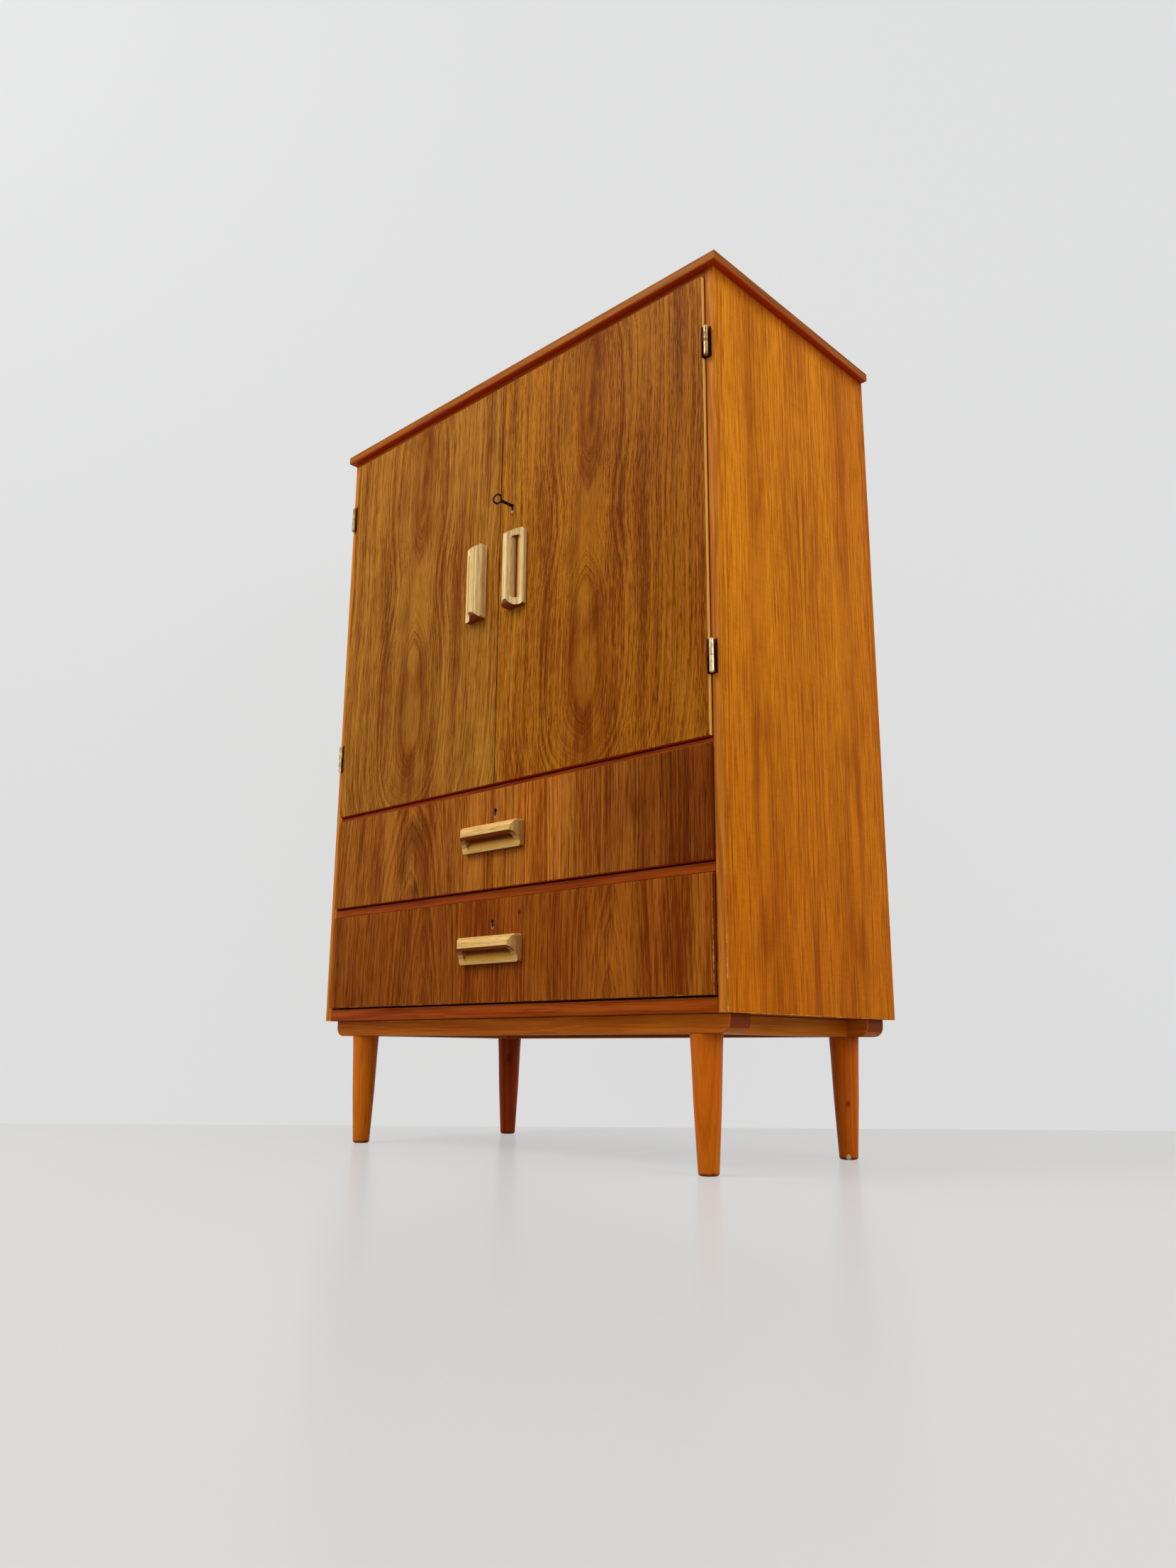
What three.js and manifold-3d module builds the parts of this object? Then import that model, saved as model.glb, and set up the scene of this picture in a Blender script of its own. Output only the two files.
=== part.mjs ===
// A two-door teak wardrobe over two drawers, standing on a beech plinth frame with turned legs.
// Millimetres, +Z up, +X to the viewer's right, the doors face -Y. The origin is on the floor,
// in the middle of the space that the whole piece of furniture takes up.

import * as THREE from 'three';
import { mergeVertices } from 'three/addons/utils/BufferGeometryUtils.js';
import Module from 'manifold-3d';

const wasm = await Module();
wasm.setup();

// ---------------------------------------------------------------- driving dimensions

const WIDTH = 1000;             // carcass, over its two sides
const DEPTH = 482;              // carcass, front edge to back edge
const HEIGHT = 1228;            // carcass, without legs and top
const SIDE_T = 18;              // side panels
const TOP_T = 18;               // overhanging top
const TOP_OVERHANG = 12;        // at the front and both sides
const LEG_H = 203;              // floor to the underside of the plinth frame
const PLINTH_H = 29;            // plinth rails, lying flat
const GLUE_GAP = 0.3;           // between pieces that are glued or screwed together
const ARRIS = 0.8;              // rounding of planed edges
const REBATE_W = 9;             // for the back panel, from the sides' inner faces
const CUT = 1;                  // how far a cutting tool runs past the face it enters

const FRONT_T = 18;             // doors and drawer fronts
const FRONT_PROUD = 6.5;        // how far they stand out from the carcass edge
const FRONT_GAP = 1.5;          // at their sides and tops
const SILL_GAP = 3;             // under them
const MEETING_X = -6;           // where the doors meet: the right door is the wider one
const MEETING_GAP = 2;

const SUB_TOP_T = 13.5;         // inner top under the overhanging one
const FLOOR_LIP_T = 7;          // what shows of the cabinet floor between doors and drawers
const FLOOR_T = 22;
const FLOOR_DROP = 9;           // its underside hangs this far behind the drawer front
const DIVIDER_T = 15;           // rail between the drawers
const BOTTOM_T = 22;
const DRAWER_FRONT_H = 179;
const BACK_T = 5.5;             // plywood back
const BACK_SEAT = 1.1;          // room round the plywood in its rebate, front and rear

const HINGE_FROM_END = 126;     // hinge middle, from the door's top or bottom
const HINGE_H = 56;
const HINGE_LEAF_W = 12;        // let into the carcass's front edge
const HINGE_LEAF_T = 1.2;
const HINGE_PLAY = 0.8;         // of a leaf in its mortise, over its height
const KNUCKLE_R = 4;
const KNUCKLE_OUT = 7.5;        // knuckle axis in front of the carcass edge
const KNUCKLE_IN = 12;          // knuckle axis in from the carcass's outer side

const PULL_L = 151;             // oak pulls, all four alike
const PULL_H = 48;
const PULL_FROM_MEETING = { left: 60, right: 50 };  // door pulls: their middles to the meeting line
const KEYHOLE_FROM_MEETING = 32.5;
const KEY_REACH = 49;           // key bow, out from the door's face
const KEY_TURNED = 35;          // degrees the key stands turned, from its slot

// ---------------------------------------------------------------- levels and planes

const carcassZ = LEG_H + PLINTH_H;
const topZ = carcassZ + HEIGHT;
const frontY = -DEPTH / 2;
const backY = DEPTH / 2;
const innerX = WIDTH / 2 - SIDE_T;
const faceY = frontY - FRONT_PROUD;         // outer face of doors and drawers
const faceBackY = faceY + FRONT_T;          // their inner face
const boardBackY = backY - BACK_T - BACK_SEAT; // back edge of the boards that carry the back panel

const lowerDrawerZ = carcassZ + BOTTOM_T + SILL_GAP;
const dividerZ = lowerDrawerZ + DRAWER_FRONT_H + FRONT_GAP;
const upperDrawerZ = dividerZ + DIVIDER_T + SILL_GAP;
const floorLipZ = upperDrawerZ + DRAWER_FRONT_H + FRONT_GAP;
const doorZ0 = floorLipZ + FLOOR_LIP_T + SILL_GAP;
const doorZ1 = topZ - SUB_TOP_T - FRONT_GAP;
const doorEdgeX = innerX - FRONT_GAP;
const subTopZ = topZ - SUB_TOP_T;
const floorZ = floorLipZ - FLOOR_DROP;      // underside of the cabinet floor, behind its rebate

const knuckleX = WIDTH / 2 - KNUCKLE_IN;
const knuckleY = frontY - KNUCKLE_OUT;

// ---------------------------------------------------------------- materials

const finish = (color, roughness, metalness = 0) => ({ color, roughness, metalness });
const TEAK_FRONT = finish(0x7a4418, 0.45);
const TEAK_SIDE = finish(0xb96a1c, 0.35);
const TEAK_RAIL = finish(0x8a4a20, 0.45);
const BEECH = finish(0xb87426, 0.4);
const BEECH_INNER = finish(0xc9a673, 0.6);
const PLY = finish(0xc4a477, 0.7);
const OAK = finish(0xc9a160, 0.5);
const BRASS = finish(0x8f7a4a, 0.4, 0.9);
const STEEL = finish(0x4a4540, 0.4, 0.9);
const NICKEL = finish(0xc8c2b4, 0.3, 1);

// ---------------------------------------------------------------- solids

function solidOf(geometry) {
  const bare = geometry.clone();
  bare.deleteAttribute('normal');
  bare.deleteAttribute('uv');
  const merged = mergeVertices(bare, 1e-4);
  return new wasm.Manifold(new wasm.Mesh({
    numProp: 3,
    vertProperties: new Float32Array(merged.attributes.position.array),
    triVerts: new Uint32Array(merged.index.array),
  }));
}

function geometryOf(solid) {
  const mesh = solid.getMesh();
  const geometry = new THREE.BufferGeometry();
  geometry.setAttribute('position', new THREE.BufferAttribute(new Float32Array(mesh.vertProperties), 3));
  geometry.setIndex(new THREE.BufferAttribute(new Uint32Array(mesh.triVerts), 1));
  geometry.computeVertexNormals();
  return geometry;
}

function piece(name, solid, look) {
  const mesh = new THREE.Mesh(geometryOf(solid), new THREE.MeshStandardMaterial(look));
  mesh.name = name;
  return mesh;
}

// A profile drawn in two axes is pushed along the third: Z, Y (profile in X, Z) or X (in Y, Z).
const ALONG = {
  z: new THREE.Matrix4(),
  y: new THREE.Matrix4().makeBasis(
    new THREE.Vector3(1, 0, 0), new THREE.Vector3(0, 0, 1), new THREE.Vector3(0, -1, 0)),
  x: new THREE.Matrix4().makeBasis(
    new THREE.Vector3(0, 1, 0), new THREE.Vector3(0, 0, 1), new THREE.Vector3(1, 0, 0)),
};

function prism(axis, shape, low, high, { ease = 0, easeSteps = 1, curveSegments = 4 } = {}) {
  const geometry = new THREE.ExtrudeGeometry(shape, {
    depth: high - low - 2 * ease,
    curveSegments,
    bevelEnabled: ease > 0,
    bevelThickness: ease,
    bevelSize: ease,
    bevelOffset: -ease,
    bevelSegments: easeSteps,
  });
  geometry.translate(0, 0, axis === 'y' ? -high + ease : low + ease);
  geometry.applyMatrix4(ALONG[axis]);
  return solidOf(geometry);
}

function cylinder(axis, radius, low, high, [a, b], segments = 24) {
  const circle = new THREE.Shape().absarc(a, b, radius, 0, 2 * Math.PI, false);
  return prism(axis, circle, low, high, { curveSegments: segments });
}

// A turned piece: the profile is [radius, height] pairs from the axis round to the axis again.
function turned(profile, segments = 28) {
  const points = profile.map(([r, z]) => new THREE.Vector2(r, z));
  const geometry = new THREE.LatheGeometry(points, segments);
  geometry.rotateX(Math.PI / 2);
  return solidOf(geometry);
}

// A closed outline through corner points, each corner rounded by its own radius.
function outline(corners, radii = []) {
  const shape = new THREE.Shape();
  const n = corners.length;
  corners.forEach((corner, i) => {
    const at = new THREE.Vector2(...corner);
    const before = new THREE.Vector2(...corners[(i + n - 1) % n]);
    const after = new THREE.Vector2(...corners[(i + 1) % n]);
    const radius = radii[i] ?? 0;
    const into = before.clone().sub(at).normalize();
    const out = after.clone().sub(at).normalize();
    const half = into.angleTo(out) / 2;
    const back = radius / Math.tan(half);
    const start = at.clone().addScaledVector(into, back);
    const end = at.clone().addScaledVector(out, back);
    if (i === 0) shape.moveTo(start.x, start.y);
    else shape.lineTo(start.x, start.y);
    if (radius > 0) shape.quadraticCurveTo(at.x, at.y, end.x, end.y);
  });
  shape.closePath();
  return shape;
}

function rectangle(x0, x1, y0, y1, radius = 0) {
  return outline([[x0, y0], [x1, y0], [x1, y1], [x0, y1]], [radius, radius, radius, radius]);
}

// A sawn board or block with square arrises, used for plain boards and for cutting tools.
function block([x0, x1], [y0, y1], [z0, z1]) {
  return prism('z', rectangle(x0, x1, y0, y1), z0, z1);
}

// A planed board whose arrises are all slightly rounded.
function easedBoard([x0, x1], [y0, y1], [z0, z1], ease = 0.8, easeSteps = 1) {
  return prism('z', rectangle(x0, x1, y0, y1), z0, z1, { ease, easeSteps });
}

// ---------------------------------------------------------------- carcass

function topPanel() {
  const x = WIDTH / 2 + TOP_OVERHANG;
  const z = topZ + GLUE_GAP;
  return easedBoard([-x, x], [frontY - TOP_OVERHANG, backY], [z, z + TOP_T], 3, 3);
}

// Plan section: eased front arrises and a rebate for the back panel; hinge mortises in the edge.
function sidePanel(side) {
  const rebateY = boardBackY + GLUE_GAP;
  const x = (fromInside) => side * (innerX + fromInside);
  const section = outline([
    [x(0), frontY], [x(SIDE_T), frontY], [x(SIDE_T), backY],
    [x(REBATE_W), backY], [x(REBATE_W), rebateY], [x(0), rebateY],
  ], [ARRIS, ARRIS, ARRIS, 0, 0, 0]);
  let panel = prism('z', section, carcassZ, topZ);
  for (const z of hingeLevels()) {
    const mortise = block(
      spanX(side, innerX - CUT, innerX + HINGE_LEAF_W + GLUE_GAP),
      [frontY - CUT, frontY + HINGE_LEAF_T + 0.5], around(z, HINGE_H + HINGE_PLAY));
    panel = panel.subtract(mortise);
  }
  return panel;
}

function subTop() {
  const x = innerX - GLUE_GAP;
  const board = easedBoard([-x, x], [frontY, boardBackY], [subTopZ, topZ], 0.6);
  const boltHole = cylinder('z', BOLT.radius + 0.7, subTopZ - CUT, subTopZ + BOLT.socket, [BOLT.x, BOLT.y]);
  return board.subtract(boltHole);
}

// Front to back section: a thin lip shows; the drawer front laps it below, the doors stop above.
function cabinetFloor() {
  const stopY = faceBackY + 0.5;
  const lipTop = floorLipZ + FLOOR_LIP_T;
  const section = outline([
    [frontY, floorLipZ], [stopY, floorLipZ], [stopY, floorZ], [boardBackY, floorZ],
    [boardBackY, floorZ + FLOOR_T], [stopY, floorZ + FLOOR_T], [stopY, lipTop], [frontY, lipTop],
  ], [0.6, 0, 0, 0, 0, 1, 0, 0.6]);
  const x = innerX - GLUE_GAP;
  return prism('x', section, -x, x).subtract(boltMortise(floorZ, 9));
}

function drawerDivider() {
  const x = innerX - GLUE_GAP;
  const rail = easedBoard([-x, x], [frontY, frontY + 70], [dividerZ, dividerZ + DIVIDER_T], 0.6);
  return rail.subtract(boltMortise(dividerZ, 9.5));
}

function bottomPanel() {
  const x = innerX - GLUE_GAP;
  return easedBoard([-x, x], [frontY, boardBackY], [carcassZ, carcassZ + BOTTOM_T], 0.6);
}

function backPanel() {
  const play = 0.4;
  const x = innerX + REBATE_W - play;
  const y = boardBackY + BACK_SEAT / 2 + 0.05;
  return block([-x, x], [y, y + BACK_T], [carcassZ + play, topZ - play]);
}

// ---------------------------------------------------------------- inside the cabinet

const SHELF = { z: 1274, thickness: 16, front: -205 };
const BEARER = { thickness: 20, height: 60, front: -200, back: 230 };
const RAIL = { radius: 12.5, y: 10, z: 1240, sunk: 12.5 };

function hatShelf() {
  const x = innerX - 0.6;
  const z = [SHELF.z, SHELF.z + SHELF.thickness];
  return easedBoard([-x, x], [SHELF.front, boardBackY - 0.2], z, 1, 2);
}

// A shelf bearer, bored part way through for the end of the hanging rail.
function shelfBearer(side) {
  const top = SHELF.z - GLUE_GAP;
  const profile = rectangle(BEARER.front, BEARER.back, top - BEARER.height, top, 6);
  const [x0, x1] = spanX(side, innerX - GLUE_GAP - BEARER.thickness, innerX - GLUE_GAP);
  const socket = cylinder('x', RAIL.radius + 0.4,
    ...spanX(side, innerX - BEARER.thickness - 2, innerX - BEARER.thickness + 13), [RAIL.y, RAIL.z]);
  return prism('x', profile, x0, x1).subtract(socket);
}

function hangingRail() {
  const reach = innerX - BEARER.thickness + RAIL.sunk;
  return cylinder('x', RAIL.radius, -reach, reach, [RAIL.y, RAIL.z]);
}

// ---------------------------------------------------------------- plinth frame and legs

const LEG = { x: 425, y: 195, topR: 25.3, footR: 16, spigotR: 11, spigotH: 20 };
const PLINTH = { railY: 52, fromFront: 20, fromSide: 12, corner: 20, sideRailX: 48 };

// Front or back rail, lying flat, its lower ends swept up, bored for the leg spigots.
function plinthRail(end) {
  const x = WIDTH / 2 - PLINTH.fromSide;
  const z = [LEG_H, carcassZ - GLUE_GAP];
  const face = outline([[-x, z[1]], [-x, z[0]], [x, z[0]], [x, z[1]]],
    [0, PLINTH.corner, PLINTH.corner, 0]);
  const outer = backY - PLINTH.fromFront;
  const [y0, y1] = end < 0 ? [-outer, -outer + PLINTH.railY] : [outer - PLINTH.railY, outer];
  let rail = prism('y', face, y0, y1, { ease: 1.2, curveSegments: 8 });
  for (const side of [-1, 1]) {
    const bore = cylinder('z', LEG.spigotR + 0.4, LEG_H - CUT, LEG_H + LEG.spigotH + 0.6,
      [side * LEG.x, end * LEG.y]);
    rail = rail.subtract(bore);
  }
  return rail;
}

function plinthSideRail(side) {
  const x = [side * LEG.x - PLINTH.sideRailX / 2, side * LEG.x + PLINTH.sideRailX / 2];
  const y = backY - PLINTH.fromFront - PLINTH.railY - GLUE_GAP;
  return easedBoard(x, [-y, y], [LEG_H, carcassZ - GLUE_GAP], 1.2);
}

// Turned and tapered, with a rounded foot and a spigot that goes up into the plinth rail.
function leg() {
  const top = LEG_H - GLUE_GAP;
  const round = 4.5;
  const profile = [[0, 0], [LEG.footR - round, 0]];
  for (const turn of [0.33, 0.67, 1]) {
    const angle = turn * Math.PI / 2;
    profile.push([LEG.footR - round + round * Math.sin(angle), round - round * Math.cos(angle)]);
  }
  profile.push([LEG.footR + (LEG.topR - LEG.footR) * 0.56, top * 0.5]);
  profile.push([LEG.topR - 1.4, top * 0.86], [LEG.topR, top]);
  profile.push([LEG.spigotR, top], [LEG.spigotR, top + LEG.spigotH], [0, top + LEG.spigotH]);
  return turned(profile, 32);
}

// ---------------------------------------------------------------- oak pull

// The pull lies along X with its plain face up, and its back is on the plane y = 0.
// Section: a plain face rises from the top wall to a ridge, and a scooped face falls from it.
// Its section, as points [down from the upper edge, out from the board]: a plain face that swells
// to a ridge, the ridge's nose, and a hollow slope to a low rim.
const PULL_SECTION = [
  [0, 0], [0, 13.5], [5, 20.3], [11, 24.3], [20, 25.6], [24, 18.8], [30, 13.8], [37, 10.4],
  [PULL_H, 8.6], [PULL_H, 0],
];
const PULL_SECTION_ROUNDS = [0, 2.2, 3, 4, 1.2, 1.2, 4, 5, 2, 0];
// The slope of its two ends, as points [in from the end, out from the board].
const PULL_END = [[0, 13], [5.5, 20.5], [12.5, 26.4]];
const PULL_SLOT = { length: 124, top: 23.8, bottom: 41.5, round: 8.6, deep: 4, shallow: 9.4 };
const PULL_CORNER = 6;
const PULL_REACH = 32;          // clear of the ridge

function pull() {
  const half = PULL_L / 2;
  const at = ([down, out]) => [-out, PULL_H / 2 - down];
  const body = prism('x', outline(PULL_SECTION.map(at), PULL_SECTION_ROUNDS), -half, half,
    { curveSegments: 3 });
  const left = PULL_END.map(([inset, out]) => [inset - half, -out]);
  const right = PULL_END.map(([inset, out]) => [half - inset, -out]).reverse();
  const side = outline([[-half, 0], ...left, ...right, [half, 0]], [0, 4, 4, 2, 2, 4, 4, 0]);
  const ends = prism('z', side, -PULL_H / 2, PULL_H / 2, { curveSegments: 3 });
  const front = rectangle(-half, half, -PULL_H / 2, PULL_H / 2, PULL_CORNER);
  const plan = prism('y', front, -PULL_REACH, 0, { curveSegments: 4 });
  return body.intersect(ends).intersect(plan).subtract(fingerSlot(at));
}

// The finger slot: round-ended, straight down behind the ridge, with a floor that ramps up to the rim.
function fingerSlot(at) {
  const { length, top, bottom, round, deep, shallow } = PULL_SLOT;
  const mouth = rectangle(-length / 2, length / 2, PULL_H / 2 - bottom, PULL_H / 2 - top, round);
  const floor = outline([
    [top - CUT, PULL_REACH], [bottom + CUT, PULL_REACH], [bottom + CUT, shallow], [top - CUT, deep],
  ].map(at));
  return prism('y', mouth, -PULL_REACH, 0, { curveSegments: 5 }).intersect(
    prism('x', floor, -length / 2 - CUT, length / 2 + CUT));
}

// ---------------------------------------------------------------- hinges

function hingeLevels() {
  return [doorZ0 + HINGE_FROM_END, doorZ1 - HINGE_FROM_END];
}

// Both halves are drawn about the knuckle axis. The upper one is let into the door's edge and
// drops over the pin of the lower one, which is let into the front edge of the side panel.
function hingeDoorLeaf(side) {
  const h = HINGE_H / 2;
  const knuckle = turned([
    [2.3, GLUE_GAP], [KNUCKLE_R, GLUE_GAP], [KNUCKLE_R, h - 1.6], [KNUCKLE_R - 1.4, h], [0, h],
    [0, h - 4], [2.3, h - 4], [2.3, GLUE_GAP],
  ], 20);
  const edge = doorEdgeX - knuckleX;
  const back = faceY - knuckleY;
  const leaf = block(spanX(side, edge - 1.4, edge - 0.1), [-0.7, back + 14.2], [-h, h]);
  const tongue = block(spanX(side, edge - 1.4, -3), [-0.7, 0.7], [GLUE_GAP, h - 2]);
  return knuckle.add(leaf).add(tongue);
}

function hingeCaseLeaf(side) {
  const h = HINGE_H / 2;
  const knuckle = turned([
    [0, -h], [KNUCKLE_R - 1.4, -h], [KNUCKLE_R, -h + 1.6], [KNUCKLE_R, -GLUE_GAP],
    [2, -GLUE_GAP], [2, h - 6], [0, h - 6],
  ], 20);
  const edge = frontY - knuckleY;
  const inside = innerX - knuckleX;
  const leaf = block(spanX(side, inside + 0.3, inside + 12), [edge + 0.2, edge + 1.4], [-h, h]);
  const tongue = block(spanX(side, -2.6, 0.4), [2, edge + 1], [-h + 2, -GLUE_GAP]);
  return knuckle.add(leaf).add(tongue);
}

// ---------------------------------------------------------------- doors

// A keyhole outline, head up, grown by a margin.
function keyhole(margin, [x, z] = [0, 0]) {
  const head = 3.4 + margin;
  const slot = 1.8 + margin;
  const drop = 12.4 + margin;
  const bite = Math.asin(slot / head);
  const shape = new THREE.Shape();
  shape.absarc(x, z, head, -Math.PI / 2 + bite, Math.PI * 1.5 - bite, false);
  shape.absarc(x, z - drop + slot, slot, Math.PI, 2 * Math.PI, false);
  shape.closePath();
  return shape;
}

// A drawn metal liner pressed into the keyhole, standing a little proud of the wood.
function keyholeLiner() {
  const ring = keyhole(0.9);
  ring.holes.push(keyhole(0));
  return prism('y', ring, -0.5, 5.6, { curveSegments: 8 });
}

const DOOR_LOCK = {
  z: 1175, keyZ: 1179, pocketW: 50.5, caseH: 60, depth: 12,
  boltH: 16, boltL: 28, boltT: 3,
};

function keyX() {
  return MEETING_X + KEYHOLE_FROM_MEETING;
}

function doorBoard(side) {
  const meeting = MEETING_X + side * MEETING_GAP / 2;
  const x = [Math.min(meeting, side * doorEdgeX), Math.max(meeting, side * doorEdgeX)];
  let board = easedBoard(x, [faceY, faceBackY], [doorZ0, doorZ1]);
  for (const z of hingeLevels()) {
    const mortise = block(spanX(side, doorEdgeX - 1.7, doorEdgeX + CUT), [faceY - CUT, faceY + 14.6],
      around(z, HINGE_H + HINGE_PLAY));
    board = board.subtract(mortise);
  }
  return board;
}

// The right door holds the lock: a pocket in its back, open at the meeting edge, and a keyhole.
function rightDoor() {
  const edge = MEETING_X + MEETING_GAP / 2;
  const pocketY = faceBackY - DOOR_LOCK.depth;
  const pocket = block([edge - CUT, edge + DOOR_LOCK.pocketW], [pocketY, faceBackY + CUT],
    around(DOOR_LOCK.z, DOOR_LOCK.caseH));
  const shape = keyhole(1.2, [keyX(), DOOR_LOCK.keyZ]);
  const hole = prism('y', shape, faceY - CUT, pocketY + CUT, { curveSegments: 8 });
  return doorBoard(1).subtract(pocket).subtract(hole);
}

// The left door's meeting edge is mortised for the lock bolt.
function leftDoor() {
  const edge = MEETING_X - MEETING_GAP / 2;
  const mortise = block([edge - 13, edge + CUT], [faceBackY - 7.5, faceBackY - 3],
    around(DOOR_LOCK.z, DOOR_LOCK.boltH + 3));
  return doorBoard(-1).subtract(mortise);
}

// A flat brass case with a bolt channel that opens at the meeting edge and a round key chamber.
function doorLockCase() {
  const x0 = MEETING_X + MEETING_GAP / 2 + 0.2;
  const x1 = x0 + DOOR_LOCK.pocketW - 0.6;
  const y0 = faceBackY - DOOR_LOCK.depth + 0.3;
  const shell = block([x0, x1], [y0, faceBackY - 0.3], around(DOOR_LOCK.z, DOOR_LOCK.caseH - 0.8));
  const channel = block([x0 - CUT, x1 - 9], [y0 + 4.6, y0 + 8.2],
    around(DOOR_LOCK.z, DOOR_LOCK.boltH + 0.8));
  const chamber = cylinder('y', 11.2, y0 + 1.2, y0 + 4.8, [keyX(), DOOR_LOCK.keyZ]);
  const shape = keyhole(0.4, [keyX(), DOOR_LOCK.keyZ]);
  const hole = prism('y', shape, y0 - CUT, y0 + 1.4, { curveSegments: 8 });
  return shell.subtract(channel).subtract(chamber).subtract(hole);
}

function doorLockBolt() {
  const x0 = MEETING_X + MEETING_GAP / 2 + 0.3;
  const y0 = faceBackY - DOOR_LOCK.depth + 0.3 + 4.9;
  return easedBoard([x0, x0 + DOOR_LOCK.boltL], [y0, y0 + DOOR_LOCK.boltT],
    around(DOOR_LOCK.z, DOOR_LOCK.boltH), 0.5);
}

// The key as it goes into its slot: a ring bow upright, a stem with a collar, and a bit below.
const KEY = { bow: 8.6, wire: 1.9, stem: 2.9, collar: 3.3, bitT: 2.2, bitL: 2.8, bitReach: 10.4 };

function key() {
  const tip = faceBackY - DOOR_LOCK.depth + 0.3 + 4.5;
  const bowY = faceY - KEY_REACH + KEY.bow + KEY.wire;
  const stemEnd = bowY + KEY.bow;
  const stem = cylinder('y', KEY.stem, stemEnd, tip, [0, 0], 16);
  const collar = cylinder('y', KEY.collar, stemEnd + 2, stemEnd + 4, [0, 0], 16);
  const ring = new THREE.TorusGeometry(KEY.bow, KEY.wire, 8, 26);
  ring.rotateY(Math.PI / 2);
  ring.translate(0, bowY, 0);
  const bit = block([-KEY.bitT / 2, KEY.bitT / 2], [tip - 0.2 - KEY.bitL, tip - 0.2],
    [-KEY.bitReach, -1]);
  return stem.add(collar).add(solidOf(ring)).add(bit);
}

// ---------------------------------------------------------------- left door's top bolt

const BOLT = {
  x: -30, y: faceBackY + 6, radius: 3, socket: 9.5,
  plate: [-65, -15], bridges: [[-61, -53], [-27, -19]],
  top: -0.5, bottom: -66, knob: -44,
};

// Heights here are from the door's top edge down. The guide is screwed to the door's inner face.
function boltGuide() {
  const z = (level) => doorZ1 + level;
  let guide = easedBoard(around(BOLT.x, 14), [faceBackY + GLUE_GAP, faceBackY + 1.8],
    BOLT.plate.map(z), 0.4);
  for (const bridge of BOLT.bridges) {
    const arch = outline([
      [BOLT.x - 5.5, faceBackY + 1], [BOLT.x + 5.5, faceBackY + 1],
      [BOLT.x + 5.5, BOLT.y + 5], [BOLT.x - 5.5, BOLT.y + 5],
    ], [0, 0, 3, 3]);
    guide = guide.add(prism('z', arch, z(bridge[0]), z(bridge[1])));
  }
  const bore = cylinder('z', BOLT.radius + 0.35, z(BOLT.plate[0]) - CUT, z(BOLT.plate[1]) + CUT,
    [BOLT.x, BOLT.y]);
  return guide.subtract(bore);
}

function topBolt() {
  const rod = cylinder('z', BOLT.radius, doorZ1 + BOLT.bottom, doorZ1 + BOLT.top, [BOLT.x, BOLT.y], 20);
  const knob = cylinder('y', 2.6, BOLT.y, BOLT.y + 11, [BOLT.x, doorZ1 + BOLT.knob], 16);
  return rod.add(knob);
}

// ---------------------------------------------------------------- drawers

const DRAWER = {
  sideX: 477, sideT: 14, boxH: 140, boxZ: 12, backY: 205, backT: 12,
  grooveZ: 74, grooveH: 14, grooveD: 7, bottomZ: 19, bottomT: 5,
};
const RUNNER = { height: 12, reach: 10.7, back: 229 };
const DRAWER_LOCK = {
  keyZ: 139.9, width: 50, height: 60, depth: 10,
  boltW: 16, boltL: 34, boltT: 3.4,
};

// Everything below is drawn with z = 0 at the bottom of the drawer front.
function drawerFront() {
  const board = easedBoard([-doorEdgeX, doorEdgeX], [faceY, faceBackY], [0, DRAWER_FRONT_H]);
  const shape = keyhole(1.2, [0, DRAWER_LOCK.keyZ]);
  const hole = prism('y', shape, faceY - CUT, faceBackY + CUT, { curveSegments: 8 });
  return board.subtract(hole);
}

// Section: grooved outside for the runner and inside for the bottom.
function drawerSide(side) {
  const out = DRAWER.sideX;
  const inn = out - DRAWER.sideT;
  const z0 = DRAWER.boxZ;
  const section = outline([
    [out, z0], [out, DRAWER.grooveZ], [out - DRAWER.grooveD, DRAWER.grooveZ],
    [out - DRAWER.grooveD, DRAWER.grooveZ + DRAWER.grooveH], [out, DRAWER.grooveZ + DRAWER.grooveH],
    [out, z0 + DRAWER.boxH], [inn, z0 + DRAWER.boxH],
    [inn, DRAWER.bottomZ + DRAWER.bottomT + 0.6], [inn + 5.4, DRAWER.bottomZ + DRAWER.bottomT + 0.6],
    [inn + 5.4, DRAWER.bottomZ], [inn, DRAWER.bottomZ], [inn, z0],
  ].map(([x, z]) => [side * x, z]), [0.5, 0, 0, 0, 0, 2, 2, 0, 0, 0, 0, 0.5]);
  return prism('y', section, faceBackY + GLUE_GAP, DRAWER.backY);
}

function drawerBack() {
  const x = DRAWER.sideX - DRAWER.sideT - GLUE_GAP;
  const z = [DRAWER.bottomZ + DRAWER.bottomT + 0.6, DRAWER.boxZ + DRAWER.boxH - 8];
  return easedBoard([-x, x], [DRAWER.backY - DRAWER.backT, DRAWER.backY], z, 0.8);
}

function drawerBottom() {
  const x = DRAWER.sideX - DRAWER.sideT + 5;
  const z = DRAWER.bottomZ + 0.3;
  return block([-x, x], [faceBackY + GLUE_GAP, DRAWER.backY - 0.5], [z, z + DRAWER.bottomT]);
}

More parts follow.
